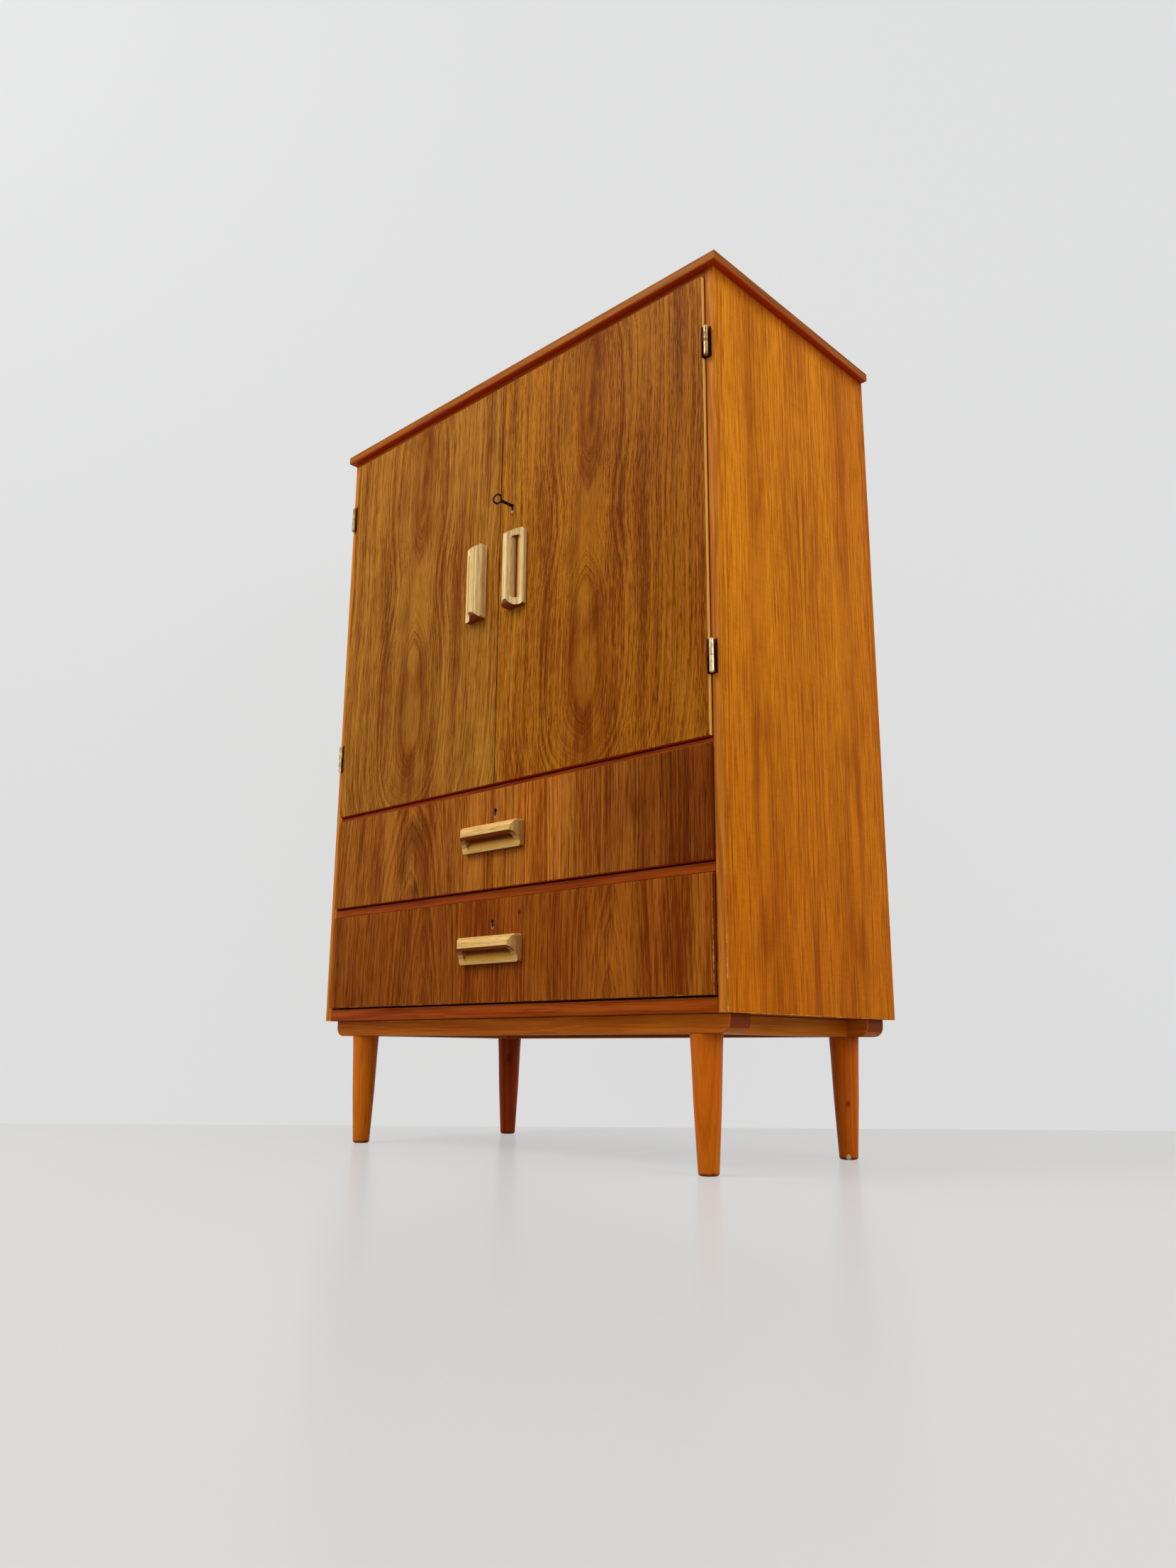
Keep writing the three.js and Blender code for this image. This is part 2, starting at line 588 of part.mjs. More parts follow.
// The case is screwed to the inner face, its bolt channel open at the top. Top is its upper end.
function drawerLockCase(top) {
  const y0 = faceBackY + GLUE_GAP;
  const shell = easedBoard([-DRAWER_LOCK.width / 2, DRAWER_LOCK.width / 2], [y0, y0 + DRAWER_LOCK.depth],
    [top - DRAWER_LOCK.height, top], 0.6);
  const channel = block(around(0, DRAWER_LOCK.boltW + 0.8), [y0 + 3.6, y0 + 7.8],
    [top - DRAWER_LOCK.boltL - 2, top + CUT]);
  const shape = keyhole(0.4, [0, DRAWER_LOCK.keyZ]);
  const hole = prism('y', shape, y0 - CUT, y0 + 7, { curveSegments: 8 });
  return shell.subtract(channel).subtract(hole);
}

function drawerLockBolt(top) {
  const y0 = faceBackY + GLUE_GAP + 4;
  const end = top - GLUE_GAP;
  return easedBoard(around(0, DRAWER_LOCK.boltW), [y0, y0 + DRAWER_LOCK.boltT],
    [end - DRAWER_LOCK.boltL, end], 0.5);
}

function boltMortise(z, height) {
  const y0 = faceBackY + GLUE_GAP + 3;
  return block(around(0, DRAWER_LOCK.boltW + 2), [y0, y0 + 5.6], [z - CUT, z + height]);
}

// A hardwood runner on the carcass side; its front end is the drawer's stop.
function runner(side, drawerZ) {
  const x = spanX(side, innerX - GLUE_GAP - RUNNER.reach, innerX - GLUE_GAP);
  const z = drawerZ + DRAWER.grooveZ + DRAWER.grooveH - GLUE_GAP - RUNNER.height;
  return easedBoard(x, [faceBackY + 0.5, RUNNER.back], [z, z + RUNNER.height], 0.6);
}

// ---------------------------------------------------------------- small helpers

function spanX(side, near, far) {
  return side > 0 ? [near, far] : [-far, -near];
}

function around(middle, size) {
  return [middle - size / 2, middle + size / 2];
}

// ---------------------------------------------------------------- assembly

const SIDES = [['left', -1], ['right', 1]];
const ENDS = [['front', -1], ['back', 1]];

function carcass() {
  const group = new THREE.Group();
  group.add(piece('top_panel', topPanel(), TEAK_RAIL));
  group.add(piece('inner_top', subTop(), TEAK_RAIL));
  group.add(piece('cabinet_floor', cabinetFloor(), TEAK_RAIL));
  group.add(piece('drawer_divider', drawerDivider(), TEAK_RAIL));
  group.add(piece('bottom_panel', bottomPanel(), TEAK_RAIL));
  group.add(piece('back_panel', backPanel(), PLY));
  group.add(piece('hat_shelf', hatShelf(), TEAK_RAIL));
  group.add(piece('hanging_rail', hangingRail(), BEECH_INNER));
  for (const [name, side] of SIDES) {
    group.add(piece(`side_panel_${name}`, sidePanel(side), TEAK_SIDE));
    group.add(piece(`shelf_bearer_${name}`, shelfBearer(side), BEECH_INNER));
    group.add(piece(`upper_runner_${name}`, runner(side, upperDrawerZ), BEECH_INNER));
    group.add(piece(`lower_runner_${name}`, runner(side, lowerDrawerZ), BEECH_INNER));
  }
  return group;
}

function plinth() {
  const group = new THREE.Group();
  for (const [name, end] of ENDS) {
    group.add(piece(`plinth_rail_${name}`, plinthRail(end), BEECH));
  }
  for (const [name, side] of SIDES) {
    group.add(piece(`plinth_rail_${name}`, plinthSideRail(side), BEECH));
  }
  for (const [endName, end] of ENDS) {
    for (const [sideName, side] of SIDES) {
      const turnedLeg = piece(`leg_${endName}_${sideName}`, leg(), BEECH);
      turnedLeg.position.set(side * LEG.x, end * LEG.y, 0);
      group.add(turnedLeg);
    }
  }
  return group;
}

function doorPull(sideName, side) {
  const handle = piece(`door_pull_${sideName}`, pull(), OAK);
  handle.rotation.y = -side * Math.PI / 2;
  handle.position.set(MEETING_X + side * PULL_FROM_MEETING[sideName], faceY - GLUE_GAP,
    (doorZ0 + doorZ1) / 2);
  return handle;
}

function hinges(sideName, side) {
  const group = new THREE.Group();
  hingeLevels().forEach((z, i) => {
    const level = ['lower', 'upper'][i];
    const halves = [
      piece(`hinge_${sideName}_${level}_door_leaf`, hingeDoorLeaf(side), BRASS),
      piece(`hinge_${sideName}_${level}_case_leaf`, hingeCaseLeaf(side), BRASS),
    ];
    for (const half of halves) {
      half.position.set(side * knuckleX, knuckleY, z);
      group.add(half);
    }
  });
  return group;
}

function doors() {
  const group = new THREE.Group();
  group.add(piece('door_left', leftDoor(), TEAK_FRONT));
  group.add(piece('door_right', rightDoor(), TEAK_FRONT));
  for (const [name, side] of SIDES) group.add(doorPull(name, side));
  group.add(piece('door_lock_case', doorLockCase(), BRASS));
  group.add(piece('door_lock_bolt', doorLockBolt(), BRASS));
  const doorKey = piece('key', key(), STEEL);
  doorKey.position.set(keyX(), 0, DOOR_LOCK.keyZ);
  doorKey.rotation.y = THREE.MathUtils.degToRad(KEY_TURNED);
  const liner = piece('door_keyhole_liner', keyholeLiner(), NICKEL);
  liner.position.set(keyX(), faceY, DOOR_LOCK.keyZ);
  group.add(doorKey, liner);
  group.add(piece('left_door_bolt_guide', boltGuide(), BRASS));
  group.add(piece('left_door_bolt', topBolt(), STEEL));
  for (const [name, side] of SIDES) group.add(hinges(name, side));
  return group;
}

// The lock case sits as high as the board above allows: the upper drawer laps under the floor.
function drawer(name, z, lockTop) {
  const group = new THREE.Group();
  group.position.z = z;
  group.add(piece(`${name}_drawer_front`, drawerFront(), TEAK_FRONT));
  for (const [sideName, side] of SIDES) {
    group.add(piece(`${name}_drawer_side_${sideName}`, drawerSide(side), BEECH_INNER));
  }
  group.add(piece(`${name}_drawer_back`, drawerBack(), BEECH_INNER));
  group.add(piece(`${name}_drawer_bottom`, drawerBottom(), PLY));
  group.add(piece(`${name}_drawer_lock_case`, drawerLockCase(lockTop), BRASS));
  group.add(piece(`${name}_drawer_lock_bolt`, drawerLockBolt(lockTop), BRASS));
  const handle = piece(`${name}_drawer_pull`, pull(), OAK);
  handle.position.set(0, faceY - GLUE_GAP, DRAWER_FRONT_H / 2);
  const liner = piece(`${name}_drawer_keyhole_liner`, keyholeLiner(), NICKEL);
  liner.position.set(0, faceY, DRAWER_LOCK.keyZ);
  group.add(handle, liner);
  return group;
}

const wardrobe = new THREE.Group();
wardrobe.name = 'wardrobe';
wardrobe.position.y = -(faceY - KEY_REACH + backY) / 2;
wardrobe.add(carcass(), plinth(), doors());
wardrobe.add(drawer('lower', lowerDrawerZ, dividerZ - lowerDrawerZ - 2.5));
wardrobe.add(drawer('upper', upperDrawerZ, floorZ - upperDrawerZ - 3));

export default wardrobe;
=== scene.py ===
import math

import bmesh
import bpy
from mathutils import Matrix, Vector


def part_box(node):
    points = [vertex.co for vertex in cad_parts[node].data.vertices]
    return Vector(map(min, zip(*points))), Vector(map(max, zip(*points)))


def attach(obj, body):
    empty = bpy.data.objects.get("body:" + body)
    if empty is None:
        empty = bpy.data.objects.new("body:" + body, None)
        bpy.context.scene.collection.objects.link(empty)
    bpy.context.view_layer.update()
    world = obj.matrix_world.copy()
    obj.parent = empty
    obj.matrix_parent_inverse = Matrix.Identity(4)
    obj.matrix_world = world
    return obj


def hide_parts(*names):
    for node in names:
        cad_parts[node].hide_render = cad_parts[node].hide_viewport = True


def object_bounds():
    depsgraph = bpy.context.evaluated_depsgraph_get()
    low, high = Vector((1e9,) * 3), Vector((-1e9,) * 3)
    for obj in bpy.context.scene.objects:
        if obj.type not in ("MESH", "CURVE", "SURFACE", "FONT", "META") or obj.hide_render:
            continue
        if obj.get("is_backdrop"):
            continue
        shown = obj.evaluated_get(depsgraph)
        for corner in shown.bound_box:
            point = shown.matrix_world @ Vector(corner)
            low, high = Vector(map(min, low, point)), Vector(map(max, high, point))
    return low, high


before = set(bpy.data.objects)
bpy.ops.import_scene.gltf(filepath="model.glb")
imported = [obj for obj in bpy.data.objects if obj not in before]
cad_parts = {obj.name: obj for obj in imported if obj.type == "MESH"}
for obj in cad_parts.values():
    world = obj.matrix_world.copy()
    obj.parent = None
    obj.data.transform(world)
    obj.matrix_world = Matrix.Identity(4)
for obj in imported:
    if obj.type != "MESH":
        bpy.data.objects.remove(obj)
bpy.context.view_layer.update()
scene = bpy.context.scene

# ---------------------------------------------------------------- the room and the camera
# A pale painted floor with a slight gloss meets a pale wall just behind the wardrobe.
# The camera stands almost on the floor, off the right front corner, and looks up.

EYE = Vector((1.5034, -1.57455, 0.175))
YAW = math.radians(43.29)
PITCH = math.radians(13.11)
ROLL = math.radians(0.375)
LENS = 26.42
WALL_DISTANCE = 2.87

ahead = Vector((-math.sin(YAW), math.cos(YAW), 0))
level = Vector((math.cos(YAW), math.sin(YAW), 0))
look = ahead * math.cos(PITCH) + Vector((0, 0, math.sin(PITCH)))
upright = level.cross(look)
right = level * math.cos(ROLL) + upright * math.sin(ROLL)
up = upright * math.cos(ROLL) - level * math.sin(ROLL)

camera = bpy.data.objects.new("camera", bpy.data.cameras.new("camera"))
camera.data.lens = LENS
camera.data.sensor_width = 36
camera.data.clip_start = 0.05
camera.matrix_world = Matrix((
    (right.x, up.x, -look.x, EYE.x),
    (right.y, up.y, -look.y, EYE.y),
    (right.z, up.z, -look.z, EYE.z),
    (0, 0, 0, 1),
))
scene.collection.objects.link(camera)
scene.camera = camera
scene.view_settings.view_transform = "Standard"


def rgb(red, green, blue):
    """A plain linear colour."""
    return (red, green, blue, 1)


def feed(tree, socket, value):
    """A socket takes a plain value or another node's output."""
    if isinstance(value, bpy.types.NodeSocket):
        tree.links.new(value, socket)
    else:
        socket.default_value = value


def node(tree, kind, inputs=None, **settings):
    """Adds a shader node, with its settings and its inputs by name."""
    made = tree.nodes.new("ShaderNode" + kind)
    for name, value in settings.items():
        setattr(made, name, value)
    for name, value in (inputs or {}).items():
        feed(tree, made.inputs[name], value)
    return made


def empty_material(name):
    """A material with only its output node; gives back the material and its tree."""
    material = bpy.data.materials.new(name)
    material.use_nodes = True
    material.node_tree.nodes.clear()
    return material, material.node_tree


def room_paint(name, color, bounced, shown, share, roughness, gloss):
    """Room paint. The eye and glossy surfaces see a share of its own plain colour in it.

    Bounced is the darker colour that the wardrobe is lit by, so that its shadows stay deep.
    """
    material, tree = empty_material(name)
    path = node(tree, "LightPath")
    seen = node(tree, "Math", {
        0: path.outputs["Is Camera Ray"], 1: path.outputs["Is Glossy Ray"]}, operation="MAXIMUM")
    base = node(tree, "Mix", {0: seen.outputs[0], 6: bounced, 7: color}, data_type="RGBA")
    paint = node(tree, "BsdfPrincipled", {
        "Base Color": base.outputs[2], "Roughness": roughness, "Specular IOR Level": gloss})
    plain = node(tree, "Emission", {"Color": shown})
    part = node(tree, "Math", {0: seen.outputs[0], 1: share}, operation="MULTIPLY")
    mixed = node(tree, "MixShader", {0: part.outputs[0], 1: paint.outputs[0], 2: plain.outputs[0]})
    behind = node(tree, "NewGeometry")
    clear = node(tree, "BsdfTransparent")
    one_sided = node(tree, "MixShader", {
        0: behind.outputs["Backfacing"], 1: mixed.outputs[0], 2: clear.outputs[0]})
    node(tree, "OutputMaterial", {"Surface": one_sided.outputs[0]})
    return material


def quad(name, corners, material):
    """A flat four-cornered sheet of the room."""
    mesh = bpy.data.meshes.new(name)
    mesh.from_pydata([tuple(c) for c in corners], [], [(0, 1, 2, 3)])
    mesh.materials.append(material)
    made = bpy.data.objects.new(name, mesh)
    scene.collection.objects.link(made)
    made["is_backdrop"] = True


floor_paint = room_paint(
    "floor_paint", rgb(0.62, 0.60, 0.575), rgb(0.30, 0.275, 0.235), rgb(0.70, 0.70, 0.695),
    share=0.62, roughness=0.24, gloss=0.25)
wall_paint = room_paint(
    "wall_paint", rgb(0.78, 0.785, 0.775), rgb(0.78, 0.785, 0.775), rgb(0.74, 0.75, 0.745),
    share=0.9, roughness=0.6, gloss=0.2)

foot_of_wall = Vector((EYE.x, EYE.y, 0)) + ahead * WALL_DISTANCE
ROOM = 9.0
quad("floor", [
    foot_of_wall - level * ROOM - ahead * 2 * ROOM, foot_of_wall + level * ROOM - ahead * 2 * ROOM,
    foot_of_wall + level * ROOM + ahead * ROOM, foot_of_wall - level * ROOM + ahead * ROOM,
], floor_paint)
quad("wall", [
    foot_of_wall - level * ROOM, foot_of_wall + level * ROOM,
    foot_of_wall + level * ROOM + Vector((0, 0, ROOM)), foot_of_wall - level * ROOM + Vector((0, 0, ROOM)),
], wall_paint)

world = bpy.data.worlds.new("studio")
scene.world = world
world.use_nodes = True
world.node_tree.nodes.clear()
sky = node(world.node_tree, "Background", {"Color": rgb(0.76, 0.77, 0.765), "Strength": 1.0})
node(world.node_tree, "OutputWorld", {"Surface": sky.outputs[0]})


def softbox(name, place, target, size, power):
    """A large square lamp that faces a point."""
    lamp = bpy.data.lights.new(name, "AREA")
    lamp.shape = "SQUARE"
    lamp.size = size
    lamp.energy = power
    made = bpy.data.objects.new(name, lamp)
    made.location = place
    made.rotation_mode = "QUATERNION"
    made.rotation_quaternion = (Vector(target) - Vector(place)).to_track_quat("-Z", "Y")
    scene.collection.objects.link(made)


softbox("overhead", (-1.1, -2.6, 3.7), (0, 0, 0.8), size=1.7, power=85)
softbox("side_light", (4.6, 0.4, 2.6), (0.5, 0, 0.8), size=2.6, power=60)

# ---------------------------------------------------------------- side panels
# Two veneered boards, grain upright, with two leaves of one flitch opened like a book.
# The front edge is lipped with solid teak; the finish is a thin satin oil.


def calc(tree, operation, *values):
    """One step of arithmetic."""
    made = node(tree, "Math", dict(enumerate(values)), operation=operation)
    return made.outputs[0]


def times(tree, first, *others):
    """Several values multiplied together."""
    for other in others:
        first = calc(tree, "MULTIPLY", first, other)
    return first


def most(tree, first, *others):
    """The largest of several values."""
    for other in others:
        first = calc(tree, "MAXIMUM", first, other)
    return first


def less(tree, whole, taken):
    """What is left of a value when another is taken from it."""
    return calc(tree, "SUBTRACT", whole, taken)


def coordinate(tree, where, axis):
    """One of a point's three coordinates."""
    return node(tree, "SeparateXYZ", {"Vector": where}).outputs[axis]


def ramp(tree, value, low, high, out_low=0.0, out_high=1.0):
    """A soft step from one level to another as value goes from low to high."""
    made = node(tree, "MapRange", {
        "Value": value, "From Min": low, "From Max": high, "To Min": out_low, "To Max": out_high,
    }, interpolation_type="SMOOTHSTEP")
    return made.outputs["Result"]


def tint(tree, factor, first, second, mode="MIX"):
    """Two colours mixed by a factor."""
    made = node(tree, "Mix", data_type="RGBA", blend_type=mode)
    feed(tree, made.inputs[0], factor)
    feed(tree, made.inputs[6], first)
    feed(tree, made.inputs[7], second)
    return made.outputs[2]


def stretched(tree, where, across, along, detail, roughness=0.5):
    """Noise drawn out along the grain: features per metre across it and along it; its outputs."""
    drawn = node(tree, "CombineXYZ", {0: across, 1: across, 2: along})
    scaled = node(tree, "VectorMath", {0: where, 1: drawn.outputs[0]}, operation="MULTIPLY")
    return node(tree, "TexNoise", {
        "Vector": scaled.outputs[0], "Scale": 1.0, "Detail": detail, "Roughness": roughness}).outputs


def centred(tree, noise, gain):
    """A noise about its middle, made stronger or weaker."""
    return times(tree, less(tree, noise["Fac"], 0.5), gain)


def new_group(name, inputs, outputs):
    """A shader node group with named sockets; gives back the group, its inputs and its outputs."""
    group = bpy.data.node_groups.new(name, "ShaderNodeTree")
    for label, kind, value in inputs:
        socket = group.interface.new_socket(label, in_out="INPUT", socket_type="NodeSocket" + kind)
        socket.default_value = value
    for label, kind in outputs:
        group.interface.new_socket(label, in_out="OUTPUT", socket_type="NodeSocket" + kind)
    entry = group.nodes.new("NodeGroupInput")
    leave = group.nodes.new("NodeGroupOutput")
    return group, entry.outputs, leave.inputs


def grown_wood_group():
    """Wood as it grows: rings round a heart, plain close to it, and short flecks along the grain.

    Where is a point with the grain along Z and the board's depth along Y. Heart is the place of
    the heart of the log and Calm the radius of the plain wood round it. Swell is how far the
    rings rise to the face and sink from it again in one Swell Length, which makes ovals. Tilt
    makes arches, and Dive makes them where the rings dive away below an oval. Taper draws an
    oval in towards its top. Fleck Across and Fleck Along say how many flecks there are in a metre.
    """
    tree, given, made = new_group("grown wood", [
        ("Where", "Vector", (0, 0, 0)),
        ("Heart", "Vector", (0, 0, 0)),
        ("Ring", "Float", 0.0045),
        ("Calm", "Float", 0.0001),
        ("Wander", "Float", 0.003),
        ("Swell", "Float", 0.0),
        ("Swell Middle", "Float", 0.0),
        ("Swell Length", "Float", 1.0),
        ("Tilt", "Float", 0.0),
        ("Dive", "Float", 0.0),
        ("Taper", "Float", 0.0),
        ("Light", "Color", rgb(0.3, 0.12, 0.03)),
        ("Dark", "Color", rgb(0.2, 0.07, 0.01)),
        ("Line", "Color", rgb(0.08, 0.02, 0.005)),
        ("Line Strength", "Float", 0.5),
        ("Broad", "Float", 1.0),
        ("Banding", "Float", 1.0),
        ("Fleck", "Float", 1.0),
        ("Fleck Across", "Float", 360.0),
        ("Fleck Along", "Float", 40.0),
        ("Pore", "Float", 0.4),
        ("Silk", "Float", 0.0),
    ], [("Color", "Color"), ("Open Grain", "Float"), ("Height", "Float")])

    drift = stretched(tree, given["Where"], 6.0, 2.2, 1.5)
    way = node(tree, "SeparateColor", {"Color": drift["Color"]})
    from_heart = node(tree, "VectorMath", {0: given["Where"], 1: given["Heart"]}, operation="SUBTRACT")
    x, y, _ = node(tree, "SeparateXYZ", {"Vector": from_heart.outputs[0]}).outputs
    span = times(tree, given["Wander"], 8.0)
    up = less(tree, coordinate(tree, given["Where"], "Z"), given["Swell Middle"])
    close = ramp(tree, calc(tree, "ABSOLUTE", x), 0.03, 0.12, 1.0, 0.0)
    drawn_in = times(tree, up, given["Taper"], close)
    aside = calc(tree, "MULTIPLY_ADD", x, drawn_in, x)
    across = calc(tree, "MULTIPLY_ADD", less(tree, way.outputs[0], 0.5), span, aside)
    deep = calc(tree, "ABSOLUTE", y)
    deep = calc(tree, "MULTIPLY_ADD", less(tree, way.outputs[1], 0.5), span, deep)
    wave = calc(tree, "COSINE", times(tree, calc(tree, "DIVIDE", up, given["Swell Length"]), 2 * math.pi))
    sunk = calc(tree, "MULTIPLY_ADD", wave, -0.5, 0.5)
    deep = calc(tree, "MULTIPLY_ADD", sunk, given["Swell"], deep)
    deep = calc(tree, "MULTIPLY_ADD", up, given["Tilt"], deep)
    below = most(tree, less(tree, -0.12, up), 0.0)
    deep = calc(tree, "MULTIPLY_ADD", times(tree, below, below), given["Dive"], deep)

    fibre = stretched(tree, given["Where"], 620.0, 9.0, 2.0, 0.6)
    squared = calc(tree, "MULTIPLY_ADD", times(tree, across, across), 0.5, times(tree, deep, deep))
    radius = calc(tree, "SQRT", squared)
    radius = calc(tree, "MULTIPLY_ADD", calc(tree, "ABSOLUTE", across), 0.29, radius)
    radius = calc(tree, "ADD", radius, centred(tree, fibre, 0.0028))

    count = calc(tree, "DIVIDE", less(tree, radius, given["Calm"]), given["Ring"])
    uneven = node(tree, "TexNoise", {"W": times(tree, count, 0.42), "Scale": 1.0, "Detail": 1.0},
                  noise_dimensions="1D")
    ringed = calc(tree, "ADD", count, centred(tree, uneven.outputs, 3.4))
    within = calc(tree, "FRACT", ringed)
    each = node(tree, "TexWhiteNoise", {"W": calc(tree, "FLOOR", ringed)}, noise_dimensions="1D")
    outline = ramp(tree, calc(tree, "ABSOLUTE", less(tree, count, 0.8)), 0.9, 1.6, 1.0, 0.0)
    chance = ramp(tree, each.outputs["Value"], 0.25, 0.9, 0.05, 1.0)
    strength = most(tree, chance, times(tree, outline, 0.8))
    beside_heart = ramp(tree, calc(tree, "ABSOLUTE", across), 0.02, 0.05, 1.0, 0.0)
    neck = times(tree, ramp(tree, sunk, 0.75, 0.95), beside_heart)
    strength = times(tree, strength, calc(tree, "MULTIPLY_ADD", neck, -0.8, 1.0),
                     ramp(tree, count, -0.5, 0.0), ramp(tree, across, 0.10, 0.20, 1.0, 0.35))
    start = calc(tree, "MULTIPLY_ADD", outline, -0.25, 0.70)
    late = calc(tree, "DIVIDE", less(tree, within, start), less(tree, 0.90, start))
    late = times(tree, ramp(tree, late, 0.0, 1.0), ramp(tree, within, 0.93, 1.0, 1.0, 0.0),
                 ramp(tree, fibre["Fac"], 0.3, 0.55, 0.6, 1.0), strength, given["Line Strength"])

    beside = calc(tree, "DIVIDE", calc(tree, "ABSOLUTE", across), given["Calm"])
    calm = most(tree, ramp(tree, count, -1.5, 0.5, 1.0, 0.0), ramp(tree, beside, 0.6, 2.2, 1.0, 0.0))
    lively = calc(tree, "MULTIPLY_ADD", calm, -0.6, 1.0)

    broad = stretched(tree, given["Where"], 18.0, 1.6, 3.0)
    smoke = stretched(tree, given["Where"], 22.0, 7.0, 4.0)
    smoke = times(tree, ramp(tree, smoke["Fac"], 0.45, 0.75), calm)
    band = node(tree, "TexNoise", {"W": times(tree, radius, 150.0), "Scale": 1.0, "Detail": 3.0,
                                "Roughness": 0.7}, noise_dimensions="1D")
    fleck = stretched(tree, given["Where"], given["Fleck Across"], given["Fleck Along"], 2.0, 0.6)
    tone = times(tree, centred(tree, broad, 1.0), given["Broad"])
    tone = calc(tree, "MULTIPLY_ADD", smoke, 0.45, tone)
    banded = times(tree, centred(tree, band.outputs, 1.6), given["Banding"])
    flecked = calc(tree, "ADD", centred(tree, fleck, 1.7), centred(tree, fibre, 1.4))
    flecked = times(tree, flecked, given["Fleck"])
    detail = times(tree, calc(tree, "ADD", banded, flecked), lively)
    halo = ramp(tree, calc(tree, "ABSOLUTE", less(tree, count, 1.0)), 0.5, 2.5, 0.10, 0.0)
    tone = calc(tree, "ADD", calc(tree, "ADD", tone, detail), calc(tree, "ADD", halo, 0.5))
    color = tint(tree, ramp(tree, tone, -0.05, 1.05), given["Light"], given["Dark"])

    pore = ramp(tree, fleck["Fac"], 0.58, 0.72)
    pore = times(tree, pore, times(tree, lively, given["Pore"]))
    color = tint(tree, pore, color, given["Line"])
    color = tint(tree, late, color, given["Line"])

    ripple = stretched(tree, given["Where"], 38.0, 190.0, 2.0)
    bright = calc(tree, "MULTIPLY_ADD", centred(tree, ripple, 1.0), given["Silk"], 1.0)
    lit = node(tree, "VectorMath", {0: color, "Scale": bright}, operation="SCALE")
    tree.links.new(lit.outputs[0], made["Color"])
    open_grain = most(tree, pore, times(tree, late, 0.5))
    tree.links.new(open_grain, made["Open Grain"])
    tree.links.new(times(tree, open_grain, -1.0), made["Height"])
    return tree


GROWN_WOOD = grown_wood_group()


def worn_edge_group():
    """Where a board is rubbed: near its arrises, in uneven patches. Low and High are its corners."""
    tree, given, made = new_group("worn edge", [
        ("Where", "Vector", (0, 0, 0)),
        ("Low", "Vector", (0, 0, 0)),
        ("High", "Vector", (1, 1, 1)),
        ("Width", "Float", 0.002),
        ("Patches", "Float", 60.0),
        ("Spread", "Float", 0.5),
    ], [("Mask", "Float")])
    over = node(tree, "VectorMath", {0: given["Where"], 1: given["Low"]}, operation="SUBTRACT")
    under = node(tree, "VectorMath", {0: given["High"], 1: given["Where"]}, operation="SUBTRACT")
    near = node(tree, "VectorMath", {0: over.outputs[0], 1: under.outputs[0]}, operation="MINIMUM")
    a, b, c = node(tree, "SeparateXYZ", {"Vector": near.outputs[0]}).outputs
    nearer = calc(tree, "MINIMUM", a, b)
    farther = most(tree, a, b)
    edge = most(tree, nearer, calc(tree, "MINIMUM", farther, c))
    patch = node(tree, "TexNoise", {"Vector": given["Where"], "Scale": given["Patches"], "Detail": 4.0,
                                 "Roughness": 0.65})
    reach = times(tree, given["Width"], ramp(tree, patch.outputs["Fac"], 0.44, 0.75, 0.02, 1.7))
    worn = less(tree, 1.0, calc(tree, "DIVIDE", edge, reach))
    worn = ramp(tree, worn, 0.0, given["Spread"])
    tree.links.new(worn, made["Mask"])
    return tree


WORN_EDGE = worn_edge_group()


def group_node(tree, group, **inputs):
    """Places a node group, its inputs given with underscores for spaces."""
    made = tree.nodes.new("ShaderNodeGroup")
    made.node_tree = group
    for name, value in inputs.items():
        feed(tree, made.inputs[name.replace("_", " ").title()], value)
    return made


def grown_wood(tree, where, **look):
    """Places the grown wood, with where a point is and how the wood looks."""
    return group_node(tree, GROWN_WOOD, where=where, **look)


def grain_axes(tree, across, depth, along):
    """The object's own axes put in the order that the wood wants, as letters X, Y and Z."""
    where = node(tree, "TexCoord").outputs["Object"]
    split = node(tree, "SeparateXYZ", {"Vector": where})
    order = [split.outputs[axis] for axis in (across, depth, along)]
    joined = node(tree, "CombineXYZ", dict(enumerate(order)))
    return where, joined.outputs[0]


def looking(tree, axis):
    """How far a face looks along one of the object's axes: 1 along it, -1 against it."""
    return coordinate(tree, node(tree, "TexCoord").outputs["Normal"], axis)


def facing(tree, axis):
    """How far a face looks along one of the object's axes, either way."""
    return calc(tree, "ABSOLUTE", looking(tree, axis))


PORE_DEPTH = 0.00012


def finish_wood(tree, color, wood, roughness, level):
    """A thin film over open grain: pores are duller and lie a little deeper."""
    rough = calc(tree, "MULTIPLY_ADD", wood.outputs["Open Grain"], 0.25, roughness)
    bump = node(tree, "Bump", {"Height": wood.outputs["Height"], "Distance": PORE_DEPTH, "Strength": 0.6})
    surface = node(tree, "BsdfPrincipled", {
        "Base Color": color, "Roughness": rough, "Specular IOR Level": level,
        "Specular Tint": rgb(1.0, 0.72, 0.42), "Normal": bump.outputs[0]})
    node(tree, "OutputMaterial", {"Surface": surface.outputs[0]})


def wood_material(name, axes, end, light, dark, line, roughness=0.42, level=0.14, **grain):
    """A plain solid wood: long grain on its faces, and darker end grain where a face cuts it."""
    material, tree = empty_material(name)
    _, where = grain_axes(tree, *axes)
    wood = grown_wood(tree, where, light=light, dark=dark, line=line, **grain)
    cut = ramp(tree, facing(tree, axes[2]), 0.7, 0.95)
    color = tint(tree, cut, wood.outputs["Color"], end)
    finish_wood(tree, color, wood, roughness, level)
    return material


def dress(name, material):
    """Gives a frame node its finish."""
    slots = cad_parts[name].data.materials
    slots.clear()
    slots.append(material)


